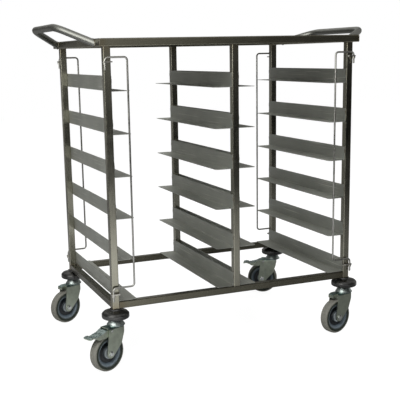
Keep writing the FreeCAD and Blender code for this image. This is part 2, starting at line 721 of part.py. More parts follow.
def caster_wheel(corner):
    """Wheel core with a boss, a hub, a web and a rim, and the tyre on the rim."""
    rim = "(wheel_diameter / 2 - tyre_thickness)"
    boss_half = "(fork_inside / 2 - hub_side_gap)"
    one_side = [
        (boss_half, axle_bore),
        (boss_half, "boss_radius"),
        ("hub_width / 2", "boss_radius"),
        ("hub_width / 2", "hub_radius"),
        ("web_root / 2", "hub_radius + hub_flare"),
        ("web_tip / 2", f"{rim} - rim_thickness - rim_flare"),
        ("rim_width / 2", f"{rim} - rim_thickness"),
        ("rim_width / 2", rim),
    ]
    core = new_body(f"wheel_core_{corner}")
    profile = sketch_on(core, "YZ_Plane")
    polygon(profile, one_side + [(f"-{across}", radius) for across, radius in reversed(one_side)])
    revolve(core, profile, "Y_Axis")
    stand_caster_piece(core, corner, "trail", axle_height)
    tyre = new_body(f"tyre_{corner}")
    profile = sketch_on(tyre, "YZ_Plane")
    widest = "wheel_diameter / 2 - tread_shoulder"
    one_side = [
        ("(tread_width / 2 - tyre_flank)", f"{rim} + seat_gap"),
        ("tread_width / 2", widest),
        ("tread_width / 2", "wheel_diameter / 2"),
    ]
    polygon(profile, one_side + [(f"-{across}", radius) for across, radius in reversed(one_side)])
    revolve(tyre, profile, "Y_Axis")
    fillet(tyre, "tread_shoulder - seat_gap",
           lambda edge: ring_at(edge, Y_AXIS, "tread_width / 2", "wheel_diameter / 2"))
    stand_caster_piece(tyre, corner, "trail", axle_height)


def ribbed_run(start, end, crest, ribs):
    """Upper edge of a pedal's tread from start to end, with ribs across it and an arch of the crest's height.

    At a share u of the run, z = start + (end - start) u + 4 crest u (1 - u) + the rib there."""
    points = []
    for i in range(int(value(ribs))):
        for share, height in RIB_PROFILE:
            u = f"({i + share} / {ribs})"
            x = f"{start[0]} + ({end[0]} - {start[0]}) * {u}"
            base = f"{start[1]} + ({end[1]} - {start[1]}) * {u}"
            points.append((x, f"{base} + 4 * {crest} * {u} * (1 - {u}) + {height} * pedal_rib"))
    return points


def brake_pedal(corner):
    """Brake pedal: an inverted channel over the tyre, down to a ribbed toe, with a shoe under it."""
    body = new_body(f"brake_pedal_{corner}")
    width = "(fork_inside - 2 * pedal_side_gap)"
    flat_end = ("(-flat_back)", "pedal_nose")
    dip = ("(-dip_back)", "(-dip_drop)")
    toe_root = ("(-slope_back)", "(-slope_drop)")
    toe_tip = ("(-slope_back - toe_length)", "(-slope_drop + toe_lift)")
    outline = sketch_on(body, "XZ_Plane")
    polygon(outline, [
        ("pedal_nose", "pedal_nose"),
        flat_end,
        dip,
        *ribbed_run(dip, toe_root, "0", "slope_ribs"),
        toe_root,
        *ribbed_run(toe_root, toe_tip, "toe_crest", "toe_ribs"),
        toe_tip,
        (toe_tip[0], f"{toe_tip[1]} - toe_sheet"),
        (f"{toe_root[0]} - toe_length / 2", f"{toe_root[1]} + toe_lift / 2 + toe_crest - toe_sheet"),
        (toe_root[0], f"{toe_root[1]} - toe_sheet"),
        ("-skirt_back", "-skirt_drop"),
        ("-skirt_front", "-skirt_drop"),
        ("pedal_nose", "-pedal_nose"),
    ])
    pad(body, outline, width)
    fillet(body, "toe_corner", lambda edge: runs_along(edge, Z_AXIS) and through(edge, x=toe_tip[0]))
    hollow = sketch_on(body, "XZ_Plane")
    polygon(hollow, [
        ("2 * pedal_nose", "pedal_nose - pedal_sheet"),
        (flat_end[0], "pedal_nose - pedal_sheet"),
        (dip[0], f"{dip[1]} - pedal_sheet"),
        (toe_root[0], f"{toe_root[1]} - pedal_sheet"),
        (toe_root[0], "-2 * skirt_drop"),
        ("2 * pedal_nose", "-2 * skirt_drop"),
    ])
    pocket(body, hollow, f"{width} - 2 * pedal_sheet")
    shoe = sketch_on(body, "XZ_Plane")
    shoe_under = f"wheel_diameter + shoe_lift - {pedal_pivot}"
    shoe_share = "(shoe_length / (dip_back - flat_back))"
    shoe_end = "(-flat_back - shoe_length)"
    polygon(shoe, [
        (flat_end[0], shoe_under),
        (flat_end[0], "pedal_nose - pedal_sheet / 2"),
        (shoe_end, f"pedal_nose - (pedal_nose + dip_drop) * {shoe_share} - pedal_sheet / 2"),
        (shoe_end, shoe_under),
    ])
    pad(body, shoe, "shoe_width")
    bore = sketch_on(body, "XZ_Plane")
    circle(bore, "0", "0", pin_bore)
    pocket(body, bore, f"{CUT_PAST} * {width}")
    stand_caster_piece(body, corner, "pedal_pivot_back", pedal_pivot)


def brake_pin(corner):
    """Hinge pin of a brake pedal, with a head outside each leg of the fork."""
    body = new_body(f"brake_pin_{corner}")
    profile = sketch_on(body, "YZ_Plane")
    outer = f"({fork_half} + pin_head_height)"
    polygon(profile, [
        (f"-{outer}", "0"),
        (f"-{outer}", "pin_head"),
        (f"-{fork_half}", "pin_head"),
        (f"-{fork_half}", "pedal_pin / 2"),
        (fork_half, "pedal_pin / 2"),
        (fork_half, "pin_head"),
        (outer, "pin_head"),
        (outer, "0"),
    ])
    revolve(body, profile, "Y_Axis")
    stand_caster_piece(body, corner, "pedal_pivot_back", pedal_pivot)


def check_pieces():
    """Stop if any object failed or any sub-part has no sound shape."""
    doc.recompute()
    failed = [thing.Label for thing in doc.Objects if "Invalid" in thing.State or "Error" in thing.State]
    failed += [piece.Label for piece in pieces if piece.Shape.isNull() or not piece.Shape.isValid()]
    if failed:
        raise RuntimeError("failed: " + ", ".join(failed))


posts()
rails()
closed_top()
runners()
handles()
retainers()
retainer_eyes()
stem_sockets()
for corner_name in CORNERS:
    caster_bumper(corner_name)
    caster_head(corner_name)
    caster_stem(corner_name)
    caster_fork(corner_name)
    caster_axle(corner_name)
    caster_wheel(corner_name)
    if corner_name in BRAKED:
        brake_pedal(corner_name)
        brake_pin(corner_name)
check_pieces()
os.makedirs("parts", exist_ok=True)
for piece in pieces:
    piece.Shape.exportStep(f"parts/{piece.Label}.step")
print(len(pieces), "sub-parts,", sum(len(piece.Shape.Solids) for piece in pieces), "solids")
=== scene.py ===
"""Looks of the tray transport cart: finishes, weld beads, caster details, light and camera. Metres."""

import json
import math

import bpy
import numpy as np
from mathutils import Matrix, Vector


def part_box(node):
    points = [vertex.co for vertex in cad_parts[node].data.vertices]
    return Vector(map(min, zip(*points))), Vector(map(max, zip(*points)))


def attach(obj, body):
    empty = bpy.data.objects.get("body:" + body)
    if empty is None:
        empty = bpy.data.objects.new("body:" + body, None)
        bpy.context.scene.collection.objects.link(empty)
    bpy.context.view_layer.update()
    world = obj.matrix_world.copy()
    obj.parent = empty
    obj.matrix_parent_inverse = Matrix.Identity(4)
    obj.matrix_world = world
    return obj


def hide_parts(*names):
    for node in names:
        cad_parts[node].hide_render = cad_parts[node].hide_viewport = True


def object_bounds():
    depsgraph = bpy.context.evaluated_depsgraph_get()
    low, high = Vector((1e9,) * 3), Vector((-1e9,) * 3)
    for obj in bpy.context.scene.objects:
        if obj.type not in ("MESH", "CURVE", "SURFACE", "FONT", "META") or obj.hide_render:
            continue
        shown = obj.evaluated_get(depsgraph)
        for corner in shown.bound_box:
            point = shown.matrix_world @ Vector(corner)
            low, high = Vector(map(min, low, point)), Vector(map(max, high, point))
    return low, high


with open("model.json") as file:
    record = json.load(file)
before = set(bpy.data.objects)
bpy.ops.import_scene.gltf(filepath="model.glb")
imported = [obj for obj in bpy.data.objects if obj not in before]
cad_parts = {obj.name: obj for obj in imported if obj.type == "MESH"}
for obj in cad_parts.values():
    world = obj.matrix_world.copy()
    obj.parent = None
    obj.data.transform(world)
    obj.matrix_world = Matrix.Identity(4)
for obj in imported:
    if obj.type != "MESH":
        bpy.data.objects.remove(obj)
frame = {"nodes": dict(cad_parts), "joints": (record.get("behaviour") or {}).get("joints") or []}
cad_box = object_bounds()

CORNERS = {
    "front_left": (-1, -1),
    "front_right": (1, -1),
    "back_left": (-1, 1),
    "back_right": (1, 1),
}
BRAKED = ("front_left", "back_right")
RUNNER_ROWS = {"left": -1, "centre_left": 1, "centre_right": -1, "right": 1}
RUNNER_LEVELS = 6
X_WAY = np.array((1.0, 0.0, 0.0))
Y_WAY = np.array((0.0, 1.0, 0.0))
Z_WAY = np.array((0.0, 0.0, 1.0))
FULL_TURN = 2.0 * math.pi
SHARP_ANGLE = math.radians(38.0)
NEARLY_ALONG_X = 0.9
JOINTS = {joint["name"]: joint for joint in frame["joints"]}


def box(node):
    """Lowest and highest corner of a node, as arrays."""
    low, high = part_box(node)
    return np.array(low), np.array(high)


# Surfaces
def grid_mesh(points, around, along, poles=None):
    """Corners and faces over a grid of points; around and along say which way the grid closes on itself.

    poles holds two points that close the first and the last row with fans of triangles."""
    rows, columns = points.shape[:2]
    index = np.arange(rows * columns).reshape(rows, columns)
    if around:
        index = np.vstack((index, index[:1]))
    if along:
        index = np.hstack((index, index[:, :1]))
    quads = np.stack((index[:-1, :-1], index[1:, :-1], index[1:, 1:], index[:-1, 1:]), axis=-1)
    faces = quads.reshape(-1, 4).tolist()
    corners = points.reshape(-1, 3)
    if poles is not None:
        first, last = len(corners), len(corners) + 1
        corners = np.vstack((corners, np.asarray(poles)))
        faces += [(first, start, end) for start, end in zip(index[0, :-1].tolist(), index[0, 1:].tolist())]
        faces += [(last, start, end) for start, end in zip(index[-1, 1:].tolist(), index[-1, :-1].tolist())]
    return corners, faces


def mesh_object(name, parts):
    """One smooth object of several meshes, each a pair of corners and faces."""
    corners, faces, count = [], [], 0
    for part_corners, part_faces in parts:
        corners.append(part_corners)
        faces += [[index + count for index in face] for face in part_faces]
        count += len(part_corners)
    mesh = bpy.data.meshes.new(name)
    mesh.from_pydata(np.vstack(corners).tolist(), [], faces)
    mesh.polygons.foreach_set("use_smooth", np.ones(len(mesh.polygons), bool))
    mesh.set_sharp_from_angle(angle=SHARP_ANGLE)
    mesh.update()
    made = bpy.data.objects.new(name, mesh)
    bpy.context.scene.collection.objects.link(made)
    return made


def piece(name, parts, body, material):
    """A piece that rides on a body, with its finish."""
    made = mesh_object(name, parts)
    made.data.materials.append(material)
    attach(made, body)
    return made


def across_pair(axis):
    """Two directions across an axis, the second a quarter turn about it after the first."""
    axis = np.asarray(axis, float)
    first = np.cross(axis, X_WAY if abs(axis[0]) < NEARLY_ALONG_X else Y_WAY)
    first /= np.linalg.norm(first)
    return first, np.cross(axis, first)


def turned(profile, centre, axis, steps=72):
    """Surface of revolution: a closed profile of (radius, along) carried round an axis through the centre.

    point = centre + radius (cos a U + sin a V) + along axis, for a from 0 to a full turn, with U and V
    across the axis. The profile runs towards plus axis on its outer side."""
    first, second = across_pair(axis)
    profile = np.asarray(profile, float)
    angle = np.linspace(0.0, FULL_TURN, steps, endpoint=False)[:, None, None]
    radius, along = profile[None, :, 0, None], profile[None, :, 1, None]
    points = centre + radius * (np.cos(angle) * first + np.sin(angle) * second) + along * np.asarray(axis)
    return grid_mesh(points, around=True, along=True)


def stacked(radius, along, centre, axis):
    """Closed solid of rings about an axis, with a fan over each end; radius and along are ring by angle.

    point = centre + radius (cos a U - sin a V) + along axis, for a from 0 to a full turn, with U and V
    across the axis."""
    first, second = across_pair(axis)
    angle = np.linspace(0.0, FULL_TURN, radius.shape[1], endpoint=False)[None, :, None]
    ring = np.cos(angle) * first - np.sin(angle) * second
    points = centre + radius[..., None] * ring + along[..., None] * np.asarray(axis)
    poles = [centre + row.mean() * np.asarray(axis) for row in (along[0], along[-1])]
    return grid_mesh(points, around=False, along=True, poles=poles)


def resampled(points, count, closed):
    """The polyline at equal steps of its length."""
    if closed:
        points = np.vstack((points, points[:1]))
    steps = np.linalg.norm(np.diff(points, axis=0), axis=1)
    length = np.concatenate(((0.0,), np.cumsum(steps)))
    wanted = np.linspace(0.0, length[-1], count, endpoint=not closed)
    return np.stack([np.interp(wanted, length, points[:, i]) for i in range(3)], axis=1), length[-1]


def rounded_line(points, rounds, steps=9):
    """Straight runs between points, with an arc at each inner point; a round of 0 leaves its corner sharp.

    At a corner P, with a and b the ways back and on from it, R its radius and t its turn:
    centre = P + R / cos(t / 2) (a + b) / |a + b|, and point = centre + R (cos f U - sin f a),
    for f from 0 to t, where U points from the centre to the arc's start, P + R tan(t / 2) a."""
    points = np.asarray(points, float)
    line = [points[:1]]
    for before, corner, after, bend in zip(points, points[1:], points[2:], rounds):
        if bend == 0.0:
            line.append(corner[None, :])
            continue
        back = (before - corner) / np.linalg.norm(before - corner)
        ahead = (after - corner) / np.linalg.norm(after - corner)
        turn = math.pi - math.acos(back @ ahead)
        inward = (back + ahead) / np.linalg.norm(back + ahead)
        centre = corner + inward * bend / math.cos(turn / 2.0)
        start = (corner + back * bend * math.tan(turn / 2.0) - centre) / bend
        angle = np.linspace(0.0, turn, steps)[:, None]
        line.append(centre + bend * (np.cos(angle) * start - np.sin(angle) * back))
    line.append(points[-1:])
    return np.vstack(line)


def bar_rings(line, normal, radius, sides):
    """Rings of a round bar along a line that lies in one plane, each square to the line.

    point = line + r (cos a N + sin a S), for a from 0 to a full turn, with N the plane's normal and
    S = N x way."""
    runs = np.diff(line, axis=0)
    runs /= np.linalg.norm(runs, axis=1)[:, None]
    way = np.vstack((runs[:1], runs[:-1] + runs[1:], runs[-1:]))
    way /= np.linalg.norm(way, axis=1)[:, None]
    angle = np.linspace(0.0, FULL_TURN, sides, endpoint=False)[None, :, None]
    ring = np.cos(angle) * normal + np.sin(angle) * np.cross(normal, way)[:, None, :]
    return line[:, None, :] + np.reshape(radius, (-1, 1, 1)) * ring


# Weld beads
BEAD_PITCH = 0.0022
BEAD_SIDES = 10
BEAD_STEP = 0.0005
BEAD_FEWEST = 12
BEAD_HOLLOW = 0.86
BEAD_RIPPLE = 0.2
BEAD_TIP = 0.02


def bead(path, normal, radius, closed=False):
    """Weld bead: a round profile carried along a path, with a ripple for each dab of weld.

    point = path + r(s) (cos a normal + sin a side), r(s) = radius (hollow + ripple |sin(pi s / pitch)|);
    at an open end, r falls to nothing as a quarter circle."""
    path = np.asarray(path, float)
    rough_length = np.linalg.norm(np.diff(path, axis=0), axis=1).sum()
    count = max(BEAD_FEWEST, int(rough_length / BEAD_STEP))
    line, length = resampled(path, count, closed)
    along = np.linspace(0.0, length, count, endpoint=not closed)
    if closed:
        tangent = np.roll(line, -1, axis=0) - np.roll(line, 1, axis=0)
    else:
        tangent = np.gradient(line, axis=0)
    tangent /= np.linalg.norm(tangent, axis=1)[:, None]
    normal = np.broadcast_to(np.asarray(normal, float), line.shape)
    side = np.cross(normal, tangent)
    swell = radius * (BEAD_HOLLOW + BEAD_RIPPLE * np.abs(np.sin(math.pi * along / BEAD_PITCH)))
    if not closed:
        from_end = np.minimum(along, length - along) / (2.0 * radius)
        from_round = 1.0 - np.clip(from_end, BEAD_TIP, 1.0)
        swell = swell * np.sqrt(np.clip(1.0 - from_round ** 2, 0.0, 1.0))
    angle = np.linspace(0.0, FULL_TURN, BEAD_SIDES, endpoint=False)[None, :, None]
    ring = np.cos(angle) * normal[:, None, :] + np.sin(angle) * side[:, None, :]
    points = line[:, None, :] + swell[:, None, None] * ring
    poles = None if closed else (line[0], line[-1])
    return grid_mesh(points, around=closed, along=True, poles=poles)


TUBE_CORNER = 0.003
TUBE_ARC_STEPS = 7
JOINT_BEAD = 0.0013
RAIL_WAYS = {"front": (0, X_WAY), "back": (0, X_WAY), "left": (1, Y_WAY), "right": (1, Y_WAY)}


def tube_outline(low, high, corner, flat):
    """Rounded outline of a box's section at right angles to the axis number flat, centred on zero there."""
    first, second = [axis for axis in range(3) if axis != flat]
    middle = (low + high) / 2.0
    half_first = (high - low)[first] / 2.0 - corner
    half_second = (high - low)[second] / 2.0 - corner
    quarter = np.linspace(0.0, math.pi / 2.0, TUBE_ARC_STEPS)
    points = []
    for turn, (along_first, along_second) in enumerate(((1, 1), (-1, 1), (-1, -1), (1, -1))):
        angle = quarter + turn * math.pi / 2.0
        arc = np.zeros((len(angle), 3))
        arc[:, first] = middle[first] + along_first * half_first + corner * np.cos(angle)
        arc[:, second] = middle[second] + along_second * half_second + corner * np.sin(angle)
        points.append(arc)
    return np.vstack(points)


def post_welds():
    """Beads round the posts' ends, under the top rails and on the bottom rails, and at the rails' ends."""
    beads = []
    names = [f"corner_post_{corner}" for corner in CORNERS] + ["centre_post_front", "centre_post_back"]
    for name in names:
        low, high = box(name)
        heights = [high[2]] if name.startswith("corner") else [low[2], high[2]]
        for height in heights:
            loop = tube_outline(low, high, TUBE_CORNER, 2)
            loop[:, 2] = height
            beads.append(bead(loop, Z_WAY, JOINT_BEAD, closed=True))
    for name, (along, way) in RAIL_WAYS.items():
        low, high = box(f"bottom_rail_{name}")
        for end in (low[along], high[along]):
            loop = tube_outline(low, high, TUBE_CORNER, along)
            loop[:, along] = end
            beads.append(bead(loop, way, JOINT_BEAD, closed=True))
    return beads


RUNNER_PLATE = 0.062
RUNNER_PITCH = 0.175
RUNNER_SHEET = 0.0015
RUNNER_BEAD = 0.0014
STITCH_LENGTH = 0.016
STITCH_INSET = 0.005
STITCH_DROP = 0.012


def runner_welds():
    """Two short stitches at each end of each runner: one on the plate's top edge and one down its end."""
    beads = []
    for row, side in RUNNER_ROWS.items():
        low, high = box(f"tray_runners_{row}")
        face = low[0] if side < 0 else high[0]
        middle_x = face - side * RUNNER_SHEET / 2.0
        for level in range(RUNNER_LEVELS):
            top = low[2] + RUNNER_PITCH * level + RUNNER_PLATE
            for end_y, inward in ((low[1], 1.0), (high[1], -1.0)):
                start = np.array((middle_x, end_y + inward * STITCH_INSET, top))
                beads.append(bead((start, start + inward * STITCH_LENGTH * Y_WAY), X_WAY, RUNNER_BEAD))
                start = np.array((middle_x, end_y, top - STITCH_DROP))
                beads.append(bead((start, start - STITCH_LENGTH * Z_WAY), X_WAY, RUNNER_BEAD))
    return beads


HANDLE_ENDS = {"left": -1.0, "right": 1.0}
HANDLE_TUBE = 0.030
HANDLE_REACH = 0.130
HANDLE_FEET_HALF = 0.305
HANDLE_CORNER_HALF = 0.205
HANDLE_BEND = 0.090
HANDLE_ARC_STEPS = 24
HANDLE_SIDES = 48
HANDLE_BEAD = 0.0020


def handle_rings(name, side):
    """Rings of a push handle: a round tube along two legs and a grip joined by arcs.

    The rings of its feet are slid along the legs into the end rail's face, where they become ellipses."""
    rail_low, rail_high = box(f"top_rail_{name}")
    face = rail_low[0] if side < 0 else rail_high[0]
    rail_z = (rail_low[2] + rail_high[2]) / 2.0
    grip_z = box(f"push_handle_{name}")[1][2] - HANDLE_TUBE / 2.0
    foot = np.array((face, -HANDLE_FEET_HALF, rail_z))
    corner = np.array((face + side * HANDLE_REACH, -HANDLE_CORNER_HALF, grip_z))
    other_end = np.array((1.0, -1.0, 1.0))
    path = (foot, corner, corner * other_end, foot * other_end)
    line = rounded_line(path, (HANDLE_BEND, HANDLE_BEND), HANDLE_ARC_STEPS)
    normal = np.cross(corner - foot, -Y_WAY)
    normal /= np.linalg.norm(normal)
    rings = bar_rings(line, normal, HANDLE_TUBE / 2.0, HANDLE_SIDES)
    leg = corner - foot
    for end, way in ((0, leg), (-1, leg * other_end)):
        rings[end] += (face - rings[end][:, :1]) / way[0] * way
    return rings


def handle_bar(name, side, material):
    """Push handle with smooth bends, in the place of the plain one."""
    rings = handle_rings(name, side)
    poles = (rings[0].mean(axis=0), rings[-1].mean(axis=0))
    parts = [grid_mesh(rings, around=False, along=True, poles=poles)]
    made = piece(f"handle_bar_{name}", parts, "frame", material)
    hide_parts(f"push_handle_{name}")


def handle_welds():
    """Bead round each handle foot, along the foot's outline on the end rail's face."""
    rings = [handle_rings(name, side) for name, side in HANDLE_ENDS.items()]
    return [bead(ring[end], X_WAY, HANDLE_BEAD, closed=True) for ring in rings for end in (0, -1)]


WIRE_RADIUS = 0.004
WIRE_SIDES = 24
PIN_BEND = 0.015
ARM_BEND = 0.014
TOP_PIN = 0.0498
BOTTOM_PIN = 0.060
PIN_CHAMFER = 0.001


def retainer_wire(corner, side, material):
    """Wire retainer: an upright bar, two arms and two pins bent down, joined by arcs; ends chamfered."""
    low, high = box(f"tray_retainer_{corner}")
    inner, outer = sorted((low[0], high[0]), key=abs)
    pin_x = outer - side * WIRE_RADIUS
    bar_x = inner + side * WIRE_RADIUS
    y = (low[1] + high[1]) / 2.0
    top = high[2] - WIRE_RADIUS
    bottom = low[2] + BOTTOM_PIN
    path = (
        (pin_x, y, top - TOP_PIN),
        (pin_x, y, top - TOP_PIN + PIN_CHAMFER),
        (pin_x, y, top),
        (bar_x, y, top),
        (bar_x, y, bottom),
        (pin_x, y, bottom),
        (pin_x, y, low[2] + PIN_CHAMFER),
        (pin_x, y, low[2]),
    )
    line = rounded_line(path, (0.0, PIN_BEND, ARM_BEND, ARM_BEND, PIN_BEND, 0.0))
    radius = np.full(len(line), WIRE_RADIUS)
    radius[[0, -1]] -= PIN_CHAMFER
    rings = bar_rings(line, Y_WAY, radius, WIRE_SIDES)
    parts = [grid_mesh(rings, around=False, along=True, poles=(line[0], line[-1]))]
    made = piece(f"retainer_wire_{corner}", parts, f"retainer_{corner}", material)
    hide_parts(f"tray_retainer_{corner}")


EYE_THICKNESS = 0.005
EYE_BEAD = 0.0012


def eye_welds():
    """Beads along the upper and lower edge of each hinge eye, where it meets its post."""
    beads = []
    low, high = box("retainer_eyes")
    tops = (high[2], low[2] + EYE_THICKNESS)
    for corner, (side, end) in CORNERS.items():
        post_low, post_high = box(f"corner_post_{corner}")
        face = post_low[1] if end < 0 else post_high[1]
        inner, outer = post_low[0] + TUBE_CORNER, post_high[0] - TUBE_CORNER
        for top in tops:
            for height in (top, top - EYE_THICKNESS):
                beads.append(bead(((inner, face, height), (outer, face, height)), Z_WAY, EYE_BEAD))
    return beads


MITRE_BEAD = 0.0016


def mitre_welds():
    """Bead down the outer edge of each mitred corner of the top frame."""
    beads = []
    low, high = box("top_rail_front")
    depth = box("top_rail_back")[1][1]
    for side, end in CORNERS.values():
        x = low[0] if side < 0 else high[0]
        y = low[1] if end < 0 else depth
        inset = MITRE_BEAD / 2.0
        top = np.array((x - side * inset, y - end * inset, high[2] - TUBE_CORNER))
        bottom = np.array((x - side * inset, y - end * inset, low[2] + TUBE_CORNER))
        beads.append(bead((top, bottom), X_WAY, MITRE_BEAD))
    return beads


# Caster details
def caster_axle(corner):
    """Middle of a wheel, the way its axle points towards the bolt's head, and the fork's turn about Z."""
    joint = JOINTS[f"wheel_spin_{corner}"]
    axis = np.array(joint["axis"], float)
    return np.array(joint["pos_m"], float), axis, math.atan2(axis[0], -axis[1])


def arc_points(centre, radius, start, end, count):
    """Points of an arc in a profile, angles in degrees."""
    angle = np.radians(np.linspace(start, end, count))
    return np.stack((centre[0] + radius * np.cos(angle), centre[1] + radius * np.sin(angle)), axis=1)


def circle_points(centre, radius, count):
    """Points of a whole circle in a profile, at equal angles."""
    return arc_points(centre, radius, -180.0, 180.0 - 360.0 / count, count)


ROUND_STEPS = 120
EDGE_ARC_STEPS = 6
STEM_BORE = 0.00605
# Outlines of round pieces: radius, height or distance along the axle, and the corner's round
BUMPER_OUTLINE = (
    (STEM_BORE, 0.0, 0.0),
    (0.0530, 0.0, 0.006),
    (0.0590, 0.0030, 0.006),
    (0.0590, 0.0200, 0.006),
    (0.0510, 0.0280, 0.010),
    (0.0280, 0.0345, 0.003),
    (0.0240, 0.0345, 0.001),
    (0.0240, 0.0405, 0.0005),
    (STEM_BORE, 0.0405, 0.0),
)
HEAD_OUTLINE = (
    (STEM_BORE, 0.0, 0.0),
    (0.0390, 0.0, 0.0005),
    (0.0390, 0.0020, 0.0005),
    (0.0365, 0.0020, 0.0008),
    (0.0365, 0.0050, 0.007),
    (0.0230, 0.0292, 0.003),
    (STEM_BORE, 0.0292, 0.0),
)
CORE_SIDE = (
    (STEM_BORE, 0.0250, 0.0),
    (0.0130, 0.0250, 0.001),
    (0.0130, 0.0170, 0.0012),
    (0.0250, 0.0170, 0.0015),
    (0.0290, 0.0060, 0.003),
    (0.0440, 0.0050, 0.005),
    (0.0560, 0.0170, 0.0015),
    (0.0600, 0.0170, 0.0005),
)


def rounded_outline(corners):
    """Outline of a turned piece from its corners and their rounds."""
    corners = np.asarray(corners)
    return rounded_line(corners[:, :2], corners[1:-1, 2], EDGE_ARC_STEPS)


def under_middle(node):
    """Middle of a node's underside."""
    low, high = box(node)
    return np.array(((low[0] + high[0]) / 2.0, (low[1] + high[1]) / 2.0, low[2]))


def bumper_disc(corner, material):
    """Rubber bumper with a rounded rim and a conical top, in the place of the plain one."""
    base = under_middle(f"bumper_{corner}")
    parts = [turned(rounded_outline(BUMPER_OUTLINE), base, Z_WAY, ROUND_STEPS)]
    made = piece(f"bumper_disc_{corner}", parts, "frame", material)
    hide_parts(f"bumper_{corner}")


def swivel_dome(corner, material):
    """Pressed swivel head with rounded edges, in the place of the plain one."""
    base = under_middle(f"swivel_head_{corner}")
    parts = [turned(rounded_outline(HEAD_OUTLINE), base, Z_WAY, ROUND_STEPS)]
    made = piece(f"swivel_dome_{corner}", parts, "frame", material)
    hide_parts(f"swivel_head_{corner}")


def wheel_centre(corner, material):
    """Wheel core with moulded edges: a boss, a hub, a web and a rim, the same on both sides."""
    centre, axis, _ = caster_axle(corner)
    side = np.array(CORE_SIDE)
    near_side = side * np.array((1.0, -1.0, 1.0))
    outline = rounded_outline(np.vstack((near_side, side[::-1])))
    made = piece(f"wheel_centre_{corner}", [turned(outline, centre, axis, ROUND_STEPS)], f"wheel_{corner}",
                 material)
    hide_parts(f"wheel_core_{corner}")


HEAD_LIP_HEIGHT = 0.002
LIP_ROLL = 0.0009
LIP_SIDES = 18


def dust_lip(corner, material):
    """Rolled edge of the swivel head's lip: a ring of round section let into the lip's upper edge."""
    low, high = box(f"swivel_head_{corner}")
    centre = np.array(((low[0] + high[0]) / 2.0, (low[1] + high[1]) / 2.0, low[2] + HEAD_LIP_HEIGHT))
    edge = (high[0] - low[0]) / 2.0
    roll = circle_points((edge - LIP_ROLL, 0.0), LIP_ROLL, LIP_SIDES)
    piece(f"dust_lip_{corner}", [turned(roll, centre, Z_WAY)], "frame", material)


BUMPER_SEAM_HEIGHT = 0.0115
BUMPER_SEAM = 0.00045
SEAM_SIDES = 10


def bumper_seam(corner, material):
    """Mould line round the bumper's rim: a fine ring of round section, half sunk in the rim."""
    low, high = box(f"bumper_{corner}")
    centre = np.array(((low[0] + high[0]) / 2.0, (low[1] + high[1]) / 2.0, low[2] + BUMPER_SEAM_HEIGHT))
    edge = (high[0] - low[0]) / 2.0
    line = circle_points((edge - BUMPER_SEAM / 2.0, 0.0), BUMPER_SEAM, SEAM_SIDES)
    parts = [turned(line, centre, Z_WAY, ROUND_STEPS)]
    piece(f"bumper_seam_{corner}", parts, "frame", material)


BOLT_WIDTH = 0.018
BOLT_STEPS = 72
HEX_FACE = 0.94
CHAMFER_SLOPE = math.tan(math.radians(30.0))
FORK_HALF = 0.0295
BOLT_HEAD = 0.007
NUT_HEX = 0.0068
NUT_HEIGHT = 0.009
NUT_COLLAR = 0.0083
TAIL = 0.0025
TAIL_RADIUS = 0.0059
TAIL_CHAMFER = 0.0012
TAIL_ROOT = 0.0005
THREAD_PITCH = 0.00125
THREAD_DEPTH = 0.0004
WASHER_RADIUS = 0.0118
WASHER_SHEET = 0.0016
WASHER_EDGE = 0.0005
WASHER_STRAIGHT = 0.7
NUT_COLLAR_ROOT = 0.0008
NUT_COLLAR_ROUND = 0.0012


def hexagon_reach(width, angle):
    """From a hexagon's middle to its edge: half its width over the cosine of the turn from a flat."""
    from_flat = np.mod(angle + math.pi / 6.0, math.pi / 3.0) - math.pi / 6.0
    return width / 2.0 / np.cos(from_flat)


def hexagon_block(low, high, centre, axis):
    """Hexagonal block whose outer corners a 30 degree cone trims: height = high - (reach - face) tan 30."""
    angle = np.linspace(0.0, FULL_TURN, BOLT_STEPS, endpoint=False)
    reach = hexagon_reach(BOLT_WIDTH, angle)
    face = np.full(BOLT_STEPS, HEX_FACE * BOLT_WIDTH / 2.0)
    level = np.ones(BOLT_STEPS)
    trimmed = high - (reach - face) * CHAMFER_SLOPE
    radius = np.stack((reach, reach, face))
    along = np.stack((low * level, trimmed, high * level))
    return stacked(radius, along, centre, axis)


def round_block(profile, centre, axis):
    """Round block: rings of the given (radius, along) pairs, closed at both ends."""
    profile = np.asarray(profile, float)
    radius = np.repeat(profile[:, :1], BOLT_STEPS, axis=1)
    along = np.repeat(profile[:, 1:], BOLT_STEPS, axis=1)
    return stacked(radius, along, centre, axis)


def threaded_end(low, high, centre, axis):
    """Bolt's end: rings a half pitch apart, every other one smaller by the thread's depth, then a chamfer."""
    count = int(round((high - low) / (THREAD_PITCH / 2.0)))
    along = np.linspace(low, high, count + 1)
    depth = THREAD_DEPTH * (np.arange(count + 1) % 2)
    radius = TAIL_RADIUS - depth
    radius[-1] = TAIL_RADIUS - TAIL_CHAMFER
    return round_block(np.stack((radius, along), axis=1), centre, axis)


